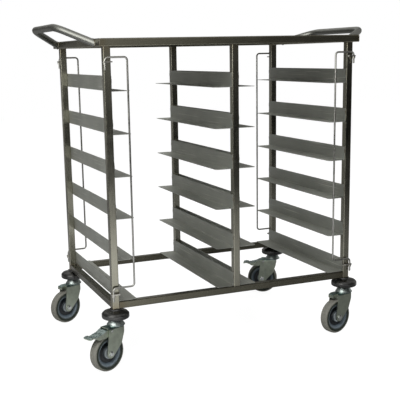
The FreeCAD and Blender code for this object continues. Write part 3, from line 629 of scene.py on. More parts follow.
def axle_hardware(corner, material):
    """Axle bolt with washers: a hexagon head on one side, a lock nut with its round collar on the other."""
    centre, axis, _ = caster_axle(corner)
    washer = (
        (WASHER_RADIUS, FORK_HALF),
        (WASHER_RADIUS, FORK_HALF + WASHER_SHEET * WASHER_STRAIGHT),
        (WASHER_RADIUS - WASHER_EDGE, FORK_HALF + WASHER_SHEET),
    )
    seat = FORK_HALF + WASHER_SHEET
    nut_top = FORK_HALF + NUT_HEX
    collar_top = FORK_HALF + NUT_HEIGHT
    collar = (
        (NUT_COLLAR, nut_top - NUT_COLLAR_ROOT),
        (NUT_COLLAR, collar_top - NUT_COLLAR_ROUND),
        (NUT_COLLAR - NUT_COLLAR_ROUND, collar_top),
    )
    shank = ((TAIL_RADIUS, -FORK_HALF), (TAIL_RADIUS, FORK_HALF))
    parts = [
        round_block(shank, centre, axis),
        round_block(washer, centre, axis),
        hexagon_block(seat, FORK_HALF + BOLT_HEAD, centre, axis),
        round_block(washer, centre, -axis),
        hexagon_block(seat, nut_top, centre, -axis),
        round_block(collar, centre, -axis),
        threaded_end(collar_top - TAIL_ROOT, collar_top + TAIL, centre, -axis),
    ]
    made = piece(f"axle_hardware_{corner}", parts, f"fork_{corner}", material)
    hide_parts(f"axle_bolt_{corner}")


TYRE_RADIUS = 0.080
RIM_RADIUS = 0.06005
CROWN_HALF = 0.0122
CROWN_DROP = 0.0004
SHOULDER_ROUND = 0.0076
SHOULDER_CENTRE = (CROWN_HALF, 0.0720)
CROWN_STEPS = 7
SHOULDER_STEPS = 10
TYRE_STEPS = 144
# Side of the tyre from the shoulder to the rim: radius and distance along the axle
TYRE_SIDE = (
    (0.0712, 0.0197),
    (0.0706, 0.0190),
    (0.0698, 0.0185),
    (0.0646, 0.0182),
    (0.0639, 0.0184),
    (0.0634, 0.0189),
    (0.0624, 0.0192),
    (0.0613, 0.0189),
    (0.0605, 0.0183),
    (RIM_RADIUS, 0.0176),
)


def tyre_profile():
    """Section of the tyre as (radius, along): a crowned tread, round shoulders, a grooved side and a bead.

    Tread: radius = 80 mm - 0.4 mm (along / 12.2 mm)^2. The side is mirrored about the wheel's middle."""
    along = np.linspace(0.0, CROWN_HALF, CROWN_STEPS)[:-1]
    tread = np.stack((TYRE_RADIUS - CROWN_DROP * (along / CROWN_HALF) ** 2, along), axis=1)
    shoulder = arc_points(SHOULDER_CENTRE, SHOULDER_ROUND, 90.0, 0.0, SHOULDER_STEPS)[:, ::-1]
    half = np.vstack((tread, shoulder, np.array(TYRE_SIDE)))
    mirrored = half[:0:-1] * np.array((1.0, -1.0))
    return np.vstack((mirrored, half))


def tyre(corner, material):
    """Tyre on its wheel, in the place of the plain ring."""
    centre, axis, _ = caster_axle(corner)
    made = piece(f"tyre_tread_{corner}", [turned(tyre_profile(), centre, axis, TYRE_STEPS)],
                 f"wheel_{corner}", material)
    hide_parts(f"tyre_{corner}")


HINGE_X = 0.578
HINGE_Y = 0.381
COLLAR_BORE = 0.00435
COLLAR_RADIUS = 0.0072
COLLAR_HEIGHT = 0.009
COLLAR_EDGE = 0.0008
COLLAR_STEPS = 40


def eye_collars(material):
    """Collars under the hinge eyes, round the retainers' pins: rings of square section with broken edges."""
    low, high = box("retainer_eyes")
    section = np.array((
        (COLLAR_BORE, -COLLAR_HEIGHT),
        (COLLAR_RADIUS - COLLAR_EDGE, -COLLAR_HEIGHT),
        (COLLAR_RADIUS, COLLAR_EDGE - COLLAR_HEIGHT),
        (COLLAR_RADIUS, 0.0),
        (COLLAR_BORE, 0.0),
    ))
    parts = []
    for side, end in CORNERS.values():
        for under in (low[2], high[2] - EYE_THICKNESS):
            hinge = np.array((side * HINGE_X, end * HINGE_Y, under))
            parts.append(turned(section, hinge, Z_WAY, COLLAR_STEPS))
    piece("eye_collars", parts, "frame", material)


DECK_STITCH_STEP = 0.1
DECK_STITCH = 0.014
DECK_BEAD = 0.0012


def deck_welds():
    """Short stitches along the edges of the closed top, where it lies on the rails."""
    beads = []
    low, high = box("top_panel")
    for along, across, way in ((0, 1, X_WAY), (1, 0, Y_WAY)):
        places = np.arange(low[along] + DECK_STITCH_STEP / 2.0, high[along], DECK_STITCH_STEP)
        for edge in (low[across], high[across]):
            for place in places:
                start = np.array((0.0, 0.0, low[2]))
                start[along] = place
                start[across] = edge
                beads.append(bead((start, start + DECK_STITCH * way), Z_WAY, DECK_BEAD))
    return beads


# Finishes
class Net:
    """Shader nodes of one material, with short ways to make the usual ones."""

    def __init__(self, name):
        self.material = bpy.data.materials.new(name)
        self.material.use_nodes = True
        self.nodes = self.material.node_tree.nodes
        self.links = self.material.node_tree.links

    def coordinates(self, scale=(1.0, 1.0, 1.0), centre=(0.0, 0.0, 0.0), turn=0.0):
        """Object coordinates about a centre, turned about Z, then scaled."""
        texture = self.nodes.new("ShaderNodeTexCoord")
        mapping = self.nodes.new("ShaderNodeMapping")
        mapping.vector_type = "TEXTURE"
        mapping.inputs["Location"].default_value = tuple(centre)
        mapping.inputs["Rotation"].default_value = (0.0, 0.0, turn)
        mapping.inputs["Scale"].default_value = tuple(1.0 / part for part in scale)
        self.links.new(texture.outputs["Object"], mapping.inputs["Vector"])
        return mapping.outputs["Vector"]

    def axes(self, vector):
        """The vector's three parts."""
        parts = self.nodes.new("ShaderNodeSeparateXYZ")
        self.links.new(vector, parts.inputs[0])
        return parts.outputs["X"], parts.outputs["Y"], parts.outputs["Z"]

    def noise(self, vector, scale, detail=3.0, roughness=0.55):
        """Noise from 0 to 1 over a vector."""
        node = self.nodes.new("ShaderNodeTexNoise")
        node.inputs["Scale"].default_value = scale
        node.inputs["Detail"].default_value = detail
        node.inputs["Roughness"].default_value = roughness
        self.links.new(vector, node.inputs["Vector"])
        return node.outputs["Fac"]

    def math(self, operation, first, second=0.0):
        """One sum of two sources or numbers."""
        node = self.nodes.new("ShaderNodeMath")
        node.operation = operation
        for socket, source in zip(node.inputs, (first, second)):
            if isinstance(source, (int, float)):
                socket.default_value = source
            else:
                self.links.new(source, socket)
        return node.outputs[0]

    def length(self, first, second):
        """Length of a vector of two parts: the root of the sum of their squares."""
        squares = [self.math("POWER", part, 2.0) for part in (first, second)]
        return self.math("SQRT", self.math("ADD", *squares))

    def ramp(self, source, stops):
        """Colours at places along a source."""
        node = self.nodes.new("ShaderNodeValToRGB")
        elements = node.color_ramp.elements
        while len(elements) < len(stops):
            elements.new(1.0)
        for element, (place, colour) in zip(elements, stops):
            element.position = place
            element.color = (*colour, 1.0)
        self.links.new(source, node.inputs["Fac"])
        return node.outputs["Color"]

    def span(self, source, low, high, start=0.0, end=1.0, smooth=False):
        """The source's stretch from start to end, spread from low to high."""
        node = self.nodes.new("ShaderNodeMapRange")
        node.interpolation_type = "SMOOTHSTEP" if smooth else "LINEAR"
        node.inputs["From Min"].default_value = start
        node.inputs["From Max"].default_value = end
        node.inputs["To Min"].default_value = low
        node.inputs["To Max"].default_value = high
        self.links.new(source, node.inputs["Value"])
        return node.outputs["Result"]

    def fade(self, source, stretch):
        """A smooth span; the stretch holds its two values, then its start and end."""
        return self.span(source, *stretch, smooth=True)

    def apart(self, across, ahead, place):
        """Distance on plan from a place."""
        return self.length(self.math("SUBTRACT", across, place[0]), self.math("SUBTRACT", ahead, place[1]))

    def outside(self, first, second):
        """1 less the product of two shares."""
        return self.math("SUBTRACT", 1.0, self.math("MULTIPLY", first, second))

    def total(self, first, *others):
        """All the sources added."""
        for other in others:
            first = self.math("ADD", first, other)
        return first

    def tinted(self, colour, share, tint):
        """The colour multiplied by a tint, by a share from 0 to 1."""
        node = self.nodes.new("ShaderNodeMix")
        node.data_type = "RGBA"
        node.blend_type = "MULTIPLY"
        by_kind = [socket for socket in node.inputs if socket.type == "RGBA"]
        by_kind[1].default_value = (*tint, 1.0)
        self.links.new(colour, by_kind[0])
        self.links.new(share, node.inputs[0])
        return [socket for socket in node.outputs if socket.type == "RGBA"][0]


# A stretch holds a source's two values, then the start and end that it spreads them over
TOPSIDE_STRETCH = (0.0, 1.0, 0.15, 0.45)
NOISE_LOW = 0.3
NOISE_MIDDLE = 0.5
NOISE_HIGH = 0.7


class Finish(Net):
    """A procedural finish: a Principled shader fed from Object coordinates."""

    def __init__(self, name, **sockets):
        super().__init__(name)
        self.shader = self.nodes["Principled BSDF"]
        for socket, value in sockets.items():
            self.shader.inputs[socket.replace("_", " ")].default_value = value

    def feed(self, socket, source):
        """Link a source to a socket of the shader."""
        self.links.new(source, self.shader.inputs[socket])

    def pattern(self, *noise):
        """Noise over plain Object coordinates, from its scale, detail and roughness."""
        return self.noise(self.coordinates(), *noise)

    def shades(self, source, colour, steps):
        """Lighter and darker shades of a colour at places along a source."""
        return self.ramp(source, [(place, np.array(colour) * share) for place, share in steps])

    def rough(self, source, spread, middle=0.0):
        """Roughness over the noise's usual reach, spread about a middle value."""
        low, high = spread
        self.feed("Roughness", self.span(source, middle + low, middle + high, NOISE_LOW, NOISE_HIGH))

    def bump(self, height, strength, distance):
        """Small relief on the surface."""
        node = self.nodes.new("ShaderNodeBump")
        node.inputs["Strength"].default_value = strength
        node.inputs["Distance"].default_value = distance
        self.links.new(height, node.inputs["Height"])
        self.feed("Normal", node.outputs["Normal"])

    def looks_up(self):
        """1 on faces that look up, 0 on upright faces and on undersides, by the piece's own normals."""
        texture = self.nodes.new("ShaderNodeTexCoord")
        return self.fade(self.axes(texture.outputs["Normal"])[2], TOPSIDE_STRETCH)

    def off_axle(self, centre, turn):
        """Distance from a wheel's axle: the length of (x, z) in the turned fork's coordinates."""
        across, _, up = self.axes(self.coordinates(centre=centre, turn=turn))
        return self.length(across, up)


# Noise is given by its scale and detail, relief by its strength and depth, shades by place and share
GRAIN_ACROSS = 1400.0
GRAIN_ALONG = 9.0
GRAIN_NOISE = (1.0, 2.0)
GRAIN_SHARE = 0.65
GRAIN_RELIEF = (0.06, 0.0004)
SMEAR_NOISE = (7.0, 4.0)
SMEAR_SHARE = 0.35
BRUSHED_SHADES = ((0.3, 0.74), (0.5, 1.0), (0.7, 1.22))
BRUSHED_SPREAD = (-0.07, 0.09)
HEAT_TINT = (0.9, 0.79, 0.64)
HEAT_STRETCH = (1.0, 0.0, 0.0, 0.05)
HEAT_NOISE = (45.0, 3.0)
SCRATCH_ACROSS = 240.0
SCRATCH_ALONG = 3.0
SCRATCH_NOISE = (1.0, 1.0)
SCRATCH_STRETCH = (0.0, 0.9, 0.66, 0.72)
SCRATCH_SHADE = (1.5, 1.5, 1.48)


def drawn_out(axis, along, across):
    """Scales of a pattern that is drawn out along one axis."""
    scales = [across] * 3
    scales[axis] = along
    return scales


def brushed_steel(name, colour, along, roughness, heat_ends=None, scratched=False):
    """Brushed stainless steel: fine streaks along one axis with broad smears over them.

    heat_ends gives the two places along that axis where welding has left a straw tint; scratched adds long,
    thin, bright scratches along the axis."""
    finish = Finish(name, Metallic=1.0)
    streaks = finish.noise(finish.coordinates(drawn_out(along, GRAIN_ALONG, GRAIN_ACROSS)), *GRAIN_NOISE)
    smears = finish.pattern(*SMEAR_NOISE)
    grain = finish.math("MULTIPLY", streaks, GRAIN_SHARE)
    both = finish.math("ADD", grain, finish.math("MULTIPLY", smears, SMEAR_SHARE))
    shade = finish.shades(both, colour, BRUSHED_SHADES)
    if heat_ends is not None:
        place = finish.axes(finish.coordinates())[along]
        patches = finish.pattern(*HEAT_NOISE)
        for end in heat_ends:
            away = finish.math("ABSOLUTE", finish.math("SUBTRACT", place, end))
            heat = finish.math("MULTIPLY", finish.fade(away, HEAT_STRETCH), patches)
            shade = finish.tinted(shade, heat, HEAT_TINT)
    if scratched:
        scales = drawn_out(along, SCRATCH_ALONG, SCRATCH_ACROSS)
        lines = finish.noise(finish.coordinates(scales), *SCRATCH_NOISE)
        shade = finish.tinted(shade, finish.span(lines, *SCRATCH_STRETCH), SCRATCH_SHADE)
    finish.feed("Base Color", shade)
    finish.rough(both, BRUSHED_SPREAD, roughness)
    finish.bump(streaks, *GRAIN_RELIEF)
    return finish.material


DRAWN_NOISE = (11.0, 4.0)
DRAWN_SHADES = ((0.35, 0.86), (0.65, 1.12))
DRAWN_SPREAD = (-0.05, 0.07)


def drawn_steel(name, colour, roughness):
    """Drawn tube or wire: smooth steel with soft smears."""
    finish = Finish(name, Metallic=1.0)
    smears = finish.pattern(*DRAWN_NOISE)
    finish.feed("Base Color", finish.shades(smears, colour, DRAWN_SHADES))
    finish.rough(smears, DRAWN_SPREAD, roughness)
    return finish.material


WELD_PATCHES = (60.0, 4.0)
WELD_COLOURS = (
    (0.3, (0.1, 0.08, 0.06)),
    (0.48, (0.19, 0.17, 0.13)),
    (0.6, (0.25, 0.24, 0.21)),
    (0.75, (0.17, 0.14, 0.1)),
)
WELD_GRAIN = (700.0, 2.0)
WELD_ROUGHNESS = (0.26, 0.46)
WELD_RELIEF = (0.2, 0.0003)


def weld_steel():
    """Weld metal: bright ripples with straw and brown heat colours in patches."""
    finish = Finish("weld_steel", Metallic=1.0)
    grain = finish.pattern(*WELD_GRAIN)
    finish.feed("Base Color", finish.ramp(finish.pattern(*WELD_PATCHES), WELD_COLOURS))
    finish.rough(grain, WELD_ROUGHNESS)
    finish.bump(grain, *WELD_RELIEF)
    return finish.material


ZINC_CLOUDS = (38.0, 4.0, 0.6)
ZINC_SHADES = ((0.3, 0.78), (0.55, 1.0), (0.75, 1.18))
ZINC_SPREAD = (-0.06, 0.1)
ZINC_GRAIN = (900.0, 2.0)
ZINC_GRAIN_SHARE = 0.012
ZINC_WAVES = (22.0, 1.0)
ZINC_RELIEF = (0.5, 0.003)
SPANGLE_NOISE = (150.0, 1.0)
SPANGLE_STRETCH = (0.0, 1.0, 0.46, 0.56)
SPANGLE_SHADE = (0.42, 0.46, 0.46)


def zinc_plate(name, colour, roughness, painted_topside_tint=None, spangled=False):
    """Zinc plating: soft cloudy patches with a fine grain, duller in places.

    The tint for faces that look up multiplies the colour there, as painted light and shade by facing;
    spangled adds small dark flecks there."""
    finish = Finish(name, Metallic=1.0)
    clouds = finish.pattern(*ZINC_CLOUDS)
    shade = finish.shades(clouds, colour, ZINC_SHADES)
    if painted_topside_tint is not None:
        topside = finish.looks_up()
        shade = finish.tinted(shade, topside, painted_topside_tint)
        if spangled:
            flecks = finish.span(finish.pattern(*SPANGLE_NOISE), *SPANGLE_STRETCH)
            shade = finish.tinted(shade, finish.math("MULTIPLY", flecks, topside), SPANGLE_SHADE)
    finish.feed("Base Color", shade)
    finish.rough(clouds, ZINC_SPREAD, roughness)
    grain = finish.math("MULTIPLY", finish.pattern(*ZINC_GRAIN), ZINC_GRAIN_SHARE)
    finish.bump(finish.math("ADD", grain, finish.pattern(*ZINC_WAVES)), *ZINC_RELIEF)
    return finish.material


BUMPER_SHEEN = 0.8
BUMPER_DUST = (55.0, 5.0)
BUMPER_COLOURS = ((0.35, (0.005, 0.005, 0.005)), (0.7, (0.014, 0.014, 0.013)))
BUMPER_ROUGHNESS = (0.12, 0.24)
BUMPER_GRAIN = (1300.0, 2.0)
BUMPER_RELIEF = (0.06, 0.0003)


def bumper_rubber():
    """Black moulded rubber with a sheen and faint dust."""
    finish = Finish("bumper_rubber", Metallic=0.0, Specular_IOR_Level=BUMPER_SHEEN)
    dust = finish.pattern(*BUMPER_DUST)
    finish.feed("Base Color", finish.ramp(dust, BUMPER_COLOURS))
    finish.rough(dust, BUMPER_ROUGHNESS)
    finish.bump(finish.pattern(*BUMPER_GRAIN), *BUMPER_RELIEF)
    return finish.material


def at_radius(stops):
    """Colour stops given by distance from the axle, as shares of the wheel's radius."""
    return [(radius / TYRE_RADIUS, colour) for radius, colour in stops]


TYRE_SHEEN = 0.25
TYRE_MOTTLE = (90.0, 5.0)
TYRE_WOBBLE = 0.0022
# Colours of the wheels by distance from the axle
TYRE_COLOURS = (
    (0.0600, (0.05, 0.058, 0.056)),
    (0.0632, (0.042, 0.052, 0.045)),
    (0.0642, (0.022, 0.03, 0.023)),
    (0.0700, (0.026, 0.034, 0.026)),
    (0.0716, (0.115, 0.118, 0.1)),
    (0.0735, (0.175, 0.174, 0.15)),
    (0.0790, (0.21, 0.207, 0.18)),
)
TYRE_DIRT = (0.0, 0.8, 0.5, 0.8)
TYRE_DIRT_SHADE = (0.6, 0.6, 0.58)
TYRE_ROUGHNESS = (0.5, 0.75)
TYRE_GRAIN = (1500.0, 3.0)
TYRE_RELIEF = (0.25, 0.0004)


def tyre_rubber(corner):
    """Grey rubber: pale on the tread, dark in the side's groove, paler on the bead at the rim."""
    centre, _, turn = caster_axle(corner)
    finish = Finish(f"tyre_rubber_{corner}", Metallic=0.0, Specular_IOR_Level=TYRE_SHEEN)
    mottle = finish.pattern(*TYRE_MOTTLE)
    wobble = finish.math("MULTIPLY", finish.math("SUBTRACT", mottle, NOISE_MIDDLE), TYRE_WOBBLE)
    radius = finish.math("ADD", finish.off_axle(centre, turn), wobble)
    colour = finish.ramp(finish.span(radius, 0.0, 1.0, 0.0, TYRE_RADIUS), at_radius(TYRE_COLOURS))
    finish.feed("Base Color", finish.tinted(colour, finish.span(mottle, *TYRE_DIRT), TYRE_DIRT_SHADE))
    finish.rough(mottle, TYRE_ROUGHNESS)
    finish.bump(finish.pattern(*TYRE_GRAIN), *TYRE_RELIEF)
    return finish.material


CORE_MOTTLE = (120.0, 4.0)
# Core colours by distance from the axle: painted shade on the boss and the web, painted light towards the
# rim's edge
CORE_COLOURS_AND_PAINTED_LIGHT = (
    (0.0132, (0.018, 0.022, 0.026)),
    (0.0138, (0.26, 0.29, 0.3)),
    (0.0246, (0.27, 0.3, 0.31)),
    (0.0256, (0.05, 0.06, 0.066)),
    (0.0300, (0.006, 0.009, 0.011)),
    (0.0430, (0.007, 0.011, 0.014)),
    (0.0470, (0.08, 0.105, 0.128)),
    (0.0550, (0.16, 0.2, 0.23)),
    (0.0600, (0.1, 0.12, 0.132)),
)
CORE_DIRT = (0.0, 0.6, 0.5, 0.8)
CORE_DIRT_SHADE = (0.62, 0.64, 0.66)
CORE_ROUGHNESS = (0.32, 0.48)
CORE_GRAIN = (1800.0, 2.0)
CORE_RELIEF = (0.15, 0.0002)


def core_plastic(corner):
    """Dark blue moulded plastic, pale on the hub's ring, with painted shade on the boss and across the web
    and painted light towards the rim's edge.
    """
    centre, _, turn = caster_axle(corner)
    finish = Finish(f"core_plastic_{corner}", Metallic=0.0)
    mottle = finish.pattern(*CORE_MOTTLE)
    place = finish.span(finish.off_axle(centre, turn), 0.0, 1.0, 0.0, TYRE_RADIUS)
    colour = finish.ramp(place, at_radius(CORE_COLOURS_AND_PAINTED_LIGHT))
    finish.feed("Base Color", finish.tinted(colour, finish.span(mottle, *CORE_DIRT), CORE_DIRT_SHADE))
    finish.rough(mottle, CORE_ROUGHNESS)
    finish.bump(finish.pattern(*CORE_GRAIN), *CORE_RELIEF)
    return finish.material


def dress(material, *nodes):
    """Give CAD nodes their finish."""
    for node in nodes:
        data = frame["nodes"][node].data
        data.materials.clear()
        data.materials.append(material)


# Colour and roughness of each metal finish
POST_COLOUR = (0.298, 0.291, 0.24)
POST_ROUGHNESS = 0.23
TOP_RAIL_COLOUR = (0.31, 0.298, 0.235)
# Painted shade: the bottom rails are the top rails' steel, coloured darker
BOTTOM_RAIL_PAINTED_SHADE = (0.143, 0.137, 0.106)
RAIL_ROUGHNESS = 0.25
DECK_COLOUR = (0.3, 0.3, 0.27)
DECK_ROUGHNESS = 0.32
# Painted light: the runners are the posts' steel, coloured lighter
RUNNER_PAINTED_LIGHT_COLOUR = (0.455, 0.466, 0.436)
RUNNER_ROUGHNESS = 0.58
HANDLE_LOOK = ((0.21, 0.214, 0.2), 0.37)
EYE_LOOK = ((0.46, 0.452, 0.415), 0.3)
WIRE_LOOK = ((0.42, 0.418, 0.395), 0.28)
FORK_COLOUR = (0.45, 0.497, 0.413)
FORK_ROUGHNESS = 0.34
# Painted shade: the fork's faces that look up are coloured darker and bluer
FORK_TOPSIDE_PAINTED_SHADE = (0.64, 0.82, 0.92)
PEDAL_ROUGHNESS = 0.3
# Painted light: the pedal's faces that look up are coloured lighter
PEDAL_TOPSIDE_PAINTED_LIGHT = (1.16, 1.28, 1.5)
HEAD_LOOK = ((0.42, 0.475, 0.468), 0.34)
BOLT_LOOK = ((0.76, 0.79, 0.78), 0.24)


def dress_frame():
    """Finishes of the tubes, sheets, handles and wires, and their welds."""
    low, high = box("corner_post_front_left")
    post = brushed_steel("post_steel", POST_COLOUR, 2, POST_ROUGHNESS, heat_ends=(low[2], high[2]))
    dress(post, *[f"corner_post_{corner}" for corner in CORNERS], "centre_post_front", "centre_post_back")
    for height, colour in (("top", TOP_RAIL_COLOUR), ("bottom", BOTTOM_RAIL_PAINTED_SHADE)):
        for ends, along in ((("front", "back"), 0), (("left", "right"), 1)):
            low, high = box(f"{height}_rail_{ends[0]}")
            hot = (low[along], high[along])
            name = f"{height}_rail_steel_{ends[0]}"
            rail = brushed_steel(name, colour, along, RAIL_ROUGHNESS, heat_ends=hot)
            dress(rail, *[f"{height}_rail_{end}" for end in ends])
    dress(brushed_steel("deck_steel", DECK_COLOUR, 0, DECK_ROUGHNESS, scratched=True), "top_panel")
    runner = brushed_steel("runner_steel_painted_light", RUNNER_PAINTED_LIGHT_COLOUR, 1, RUNNER_ROUGHNESS, scratched=True)
    dress(runner, *[f"tray_runners_{row}" for row in RUNNER_ROWS])
    handle = drawn_steel("handle_steel", *HANDLE_LOOK)
    for name, side in HANDLE_ENDS.items():
        dress(handle, f"push_handle_{name}")
        handle_bar(name, side, handle)
    wire = drawn_steel("wire_steel", *WIRE_LOOK)
    for corner, (side, _) in CORNERS.items():
        dress(wire, f"tray_retainer_{corner}")
        retainer_wire(corner, side, wire)
    eye = drawn_steel("eye_steel", *EYE_LOOK)
    dress(eye, "retainer_eyes")
    eye_collars(eye)
    weld = weld_steel()
    piece("post_weld_beads", post_welds(), "frame", weld)
    piece("runner_weld_beads", runner_welds(), "frame", weld)
    piece("handle_weld_beads", handle_welds(), "frame", weld)
    piece("eye_weld_beads", eye_welds(), "frame", weld)
    piece("mitre_weld_beads", mitre_welds(), "frame", weld)
    piece("deck_weld_beads", deck_welds(), "frame", weld)


def dress_casters():
    """Finishes of the casters, with their bolts, tyres, lips and mould lines."""
    fork = zinc_plate("fork_zinc", FORK_COLOUR, FORK_ROUGHNESS, painted_topside_tint=FORK_TOPSIDE_PAINTED_SHADE)
    pedal = zinc_plate("pedal_zinc", FORK_COLOUR, PEDAL_ROUGHNESS, painted_topside_tint=PEDAL_TOPSIDE_PAINTED_LIGHT, spangled=True)
    head = zinc_plate("head_zinc", *HEAD_LOOK)
    bolt = zinc_plate("bolt_zinc", *BOLT_LOOK)
    rubber = bumper_rubber()
    dress(fork, "stem_sockets")
    for corner in CORNERS:
        dress(rubber, f"bumper_{corner}")
        dress(head, f"swivel_head_{corner}")
        dress(bolt, f"caster_stem_{corner}", f"axle_bolt_{corner}")
        dress(fork, f"caster_fork_{corner}")
        plastic = core_plastic(corner)
        dress(plastic, f"wheel_core_{corner}")
        grey = tyre_rubber(corner)
        bumper_disc(corner, rubber)
        swivel_dome(corner, head)
        wheel_centre(corner, plastic)
        dress(grey, f"tyre_{corner}")
        tyre(corner, grey)
        axle_hardware(corner, bolt)
        dust_lip(corner, head)
        bumper_seam(corner, rubber)
        if corner in BRAKED:
            dress(pedal, f"brake_pedal_{corner}")
            dress(bolt, f"brake_pin_{corner}")


# Camera, solved from the frame's straight edges in the photograph
CAMERA_PLACE = (-1.52756, -3.54802, 1.30907)
CAMERA_YAW = 0.3740
CAMERA_PITCH = 0.1940
CAMERA_ROLL = -0.0220
FOCAL_PIXELS = 818.45
OPTICAL_AXIS_PIXEL = (177.21, 215.03)
PHOTO_PIXELS = 400
SENSOR = 36.0


def placed(data, name, right, up, back, place):
    """Object with the given axes and place."""
    made = bpy.data.objects.new(name, data)
    matrix = np.eye(4)
    matrix[:3, :4] = np.stack((right, up, back, place), axis=1)
    made.matrix_world = Matrix(matrix.tolist())
    bpy.context.scene.collection.objects.link(made)
    return made


def make_camera():
    """Camera at the photograph's place; its axes come from yaw, pitch and roll."""
    ahead = np.array((
        math.sin(CAMERA_YAW) * math.cos(CAMERA_PITCH),
        math.cos(CAMERA_YAW) * math.cos(CAMERA_PITCH),
        -math.sin(CAMERA_PITCH),
    ))
    level_right = np.array((math.cos(CAMERA_YAW), -math.sin(CAMERA_YAW), 0.0))
    level_up = np.cross(level_right, ahead)
    right = math.cos(CAMERA_ROLL) * level_right + math.sin(CAMERA_ROLL) * level_up
    up = math.cos(CAMERA_ROLL) * level_up - math.sin(CAMERA_ROLL) * level_right
    data = bpy.data.cameras.new("photo_camera")
    data.sensor_width = SENSOR
    data.lens = FOCAL_PIXELS / PHOTO_PIXELS * SENSOR
    data.shift_x = 0.5 - OPTICAL_AXIS_PIXEL[0] / PHOTO_PIXELS
    data.shift_y = OPTICAL_AXIS_PIXEL[1] / PHOTO_PIXELS - 0.5
    bpy.context.scene.camera = placed(data, "photo_camera", right, up, -ahead, CAMERA_PLACE)


# Studio; a stretch holds two strengths, then the places in metres that it fades between
WHITE = (1.0, 1.0, 1.0, 1.0)
WORLD_LIGHT = 0.3
FLOOR_HALF = 14.0
FLOOR_WHITE = 0.945
FLOOR_GREY = 0.8
FLOOR_SHADOW = 0.2
FLOOR_POOL = 1.3
POOL_LEFTWARD = (1.0, 0.09, -0.1, 1.6)
POOL_NEAR = (1.0, 0.12, 2.6, 4.2)
POOL_DEPTH = 1.35
# Painted shadow of the cart in the mirrored pool: POOL_SHADED, DARK_PLACE, POOL_DARKER and POOL_BESIDE to
# POOL_UNDER dim it near, beside, behind and under the cart
POOL_SHADED = (0.5, 1.0, 0.7, 2.0)
DARK_PLACE = (0.7, -0.5)
POOL_DARKER = (0.11, 1.0, 0.5, 1.75)
POOL_FAR_LEFT = (0.6, 1.0, -2.0, -0.7)
POOL_BESIDE = (1.0, 0.0, -0.75, -0.4)
POOL_BEHIND = (0.0, 0.82, -0.5, 0.5)
POOL_BEYOND = (0.0, 0.85, 0.3, 0.8)
POOL_UNDER = (0.0, 1.0, -0.8, -0.35)
RIGHT_POOL = (0.0, 0.6, 0.9, 1.7)
RIGHT_POOL_FRONT = (0.0, 1.0, -0.7, -0.1)
DOME_RADIUS = 4.5
DOME_SHOULDER = 4.2
DOME_TOP = 5.4
DOME_RINGS = 12
DOME_LAST_RING = 88.0
DOME_STEPS = 96
DOME_WARMTH = (1.0, 0.99, 0.95, 1.0)
WALL_LEFT = (0.25, 0.52, -3.15, 0.225)
WALL_RIGHTWARD = (1.0, 0.15, 0.27, 2.07)
WALL_RAISED = (0.06, 1.0, 0.75, 1.5)
WALL_ON_LEFT = (1.0, 0.0, -0.675, 0.45)
WALL_AT_BACK = (0.0, 1.0, 0.45, 2.7)
WALL_BACK_LEFT = (0.3, 0.13, 1.1, 1.35)
WALL_BEHIND = (0.0, 0.1, 0.0, 3.15)
RIGHT_WALL = (0.0, 0.38, 2.475, 3.825)
RIGHT_WALL_FRONT = (0.0, 1.0, -2.25, -0.45)
RIGHT_WALL_BACK = (1.0, 0.0, 1.35, 2.7)
WINDOW = (-3.75, -2.5)
WINDOW_GLOW = (4.4, 0.0, 0.5, 2.8)
WINDOW_SILL = (0.0, 1.0, 0.7, 1.7)
WINDOW_HEAD = (1.0, 0.5, 3.2, 5.2)
CEILING_GLOW = (0.0, 0.35, 4.1, 4.9)
SKYLIGHT_GLOW = (0.0, 0.35, 2.475, 4.05)
SKYLIGHT_RAISED = (0.0, 1.0, 2.1, 3.0)
# Soft boxes: place, width, height and watts
SOFT_BOXES = {
    "key_box": ((-1.7, -2.3, 2.6), 1.2, 1.2, 84.0),
    "top_box": ((0.5, 0.3, 4.6), 2.4, 1.8, 70.0),
    "back_box": ((2.4, 2.8, 3.2), 1.4, 1.4, 25.0),
}


def make_world():
    """White where the camera, a mirror or a clear piece shows it, softer light elsewhere."""
    world = bpy.data.worlds.new("studio_world")
    bpy.context.scene.world = world
    world.use_nodes = True
    nodes, links = world.node_tree.nodes, world.node_tree.links
    path = nodes.new("ShaderNodeLightPath")
    soft = nodes["Background"]
    soft.inputs["Color"].default_value = WHITE
    soft.inputs["Strength"].default_value = WORLD_LIGHT
    white = nodes.new("ShaderNodeBackground")
    white.inputs["Color"].default_value = WHITE
    white.inputs["Strength"].default_value = 1.0
    mix = nodes.new("ShaderNodeMixShader")
    seen = path.outputs["Is Camera Ray"]
    for ray in ("Is Glossy Ray", "Is Transmission Ray"):
        either = nodes.new("ShaderNodeMath")
        either.operation = "MAXIMUM"
        links.new(seen, either.inputs[0])
        links.new(path.outputs[ray], either.inputs[1])
        seen = either.outputs[0]
    links.new(seen, mix.inputs[0])
    links.new(soft.outputs[0], mix.inputs[1])
    links.new(white.outputs[0], mix.inputs[2])
    links.new(mix.outputs[0], nodes["World Output"].inputs["Surface"])


def glow_shader(net, strength, colour=WHITE):
    """Emission of a colour, with its strength from a source."""
    glow = net.nodes.new("ShaderNodeEmission")
    glow.inputs["Color"].default_value = colour
    net.links.new(strength, glow.inputs["Strength"])
    return glow.outputs[0]


def matt_shader(net, grey):
    """Plain matt grey."""
    matt = net.nodes.new("ShaderNodeBsdfDiffuse")
    matt.inputs["Color"].default_value = (grey, grey, grey, 1.0)
    return matt.outputs[0]


def joined_shader(net, kind, first, second, share=None):
    """Two shaders added, or mixed by a share."""
    node = net.nodes.new(kind)
    sockets = node.inputs[-2:]
    net.links.new(first, sockets[0])
    net.links.new(second, sockets[1])
    if share is not None:
        net.links.new(share, node.inputs[0])
    return node.outputs[0]


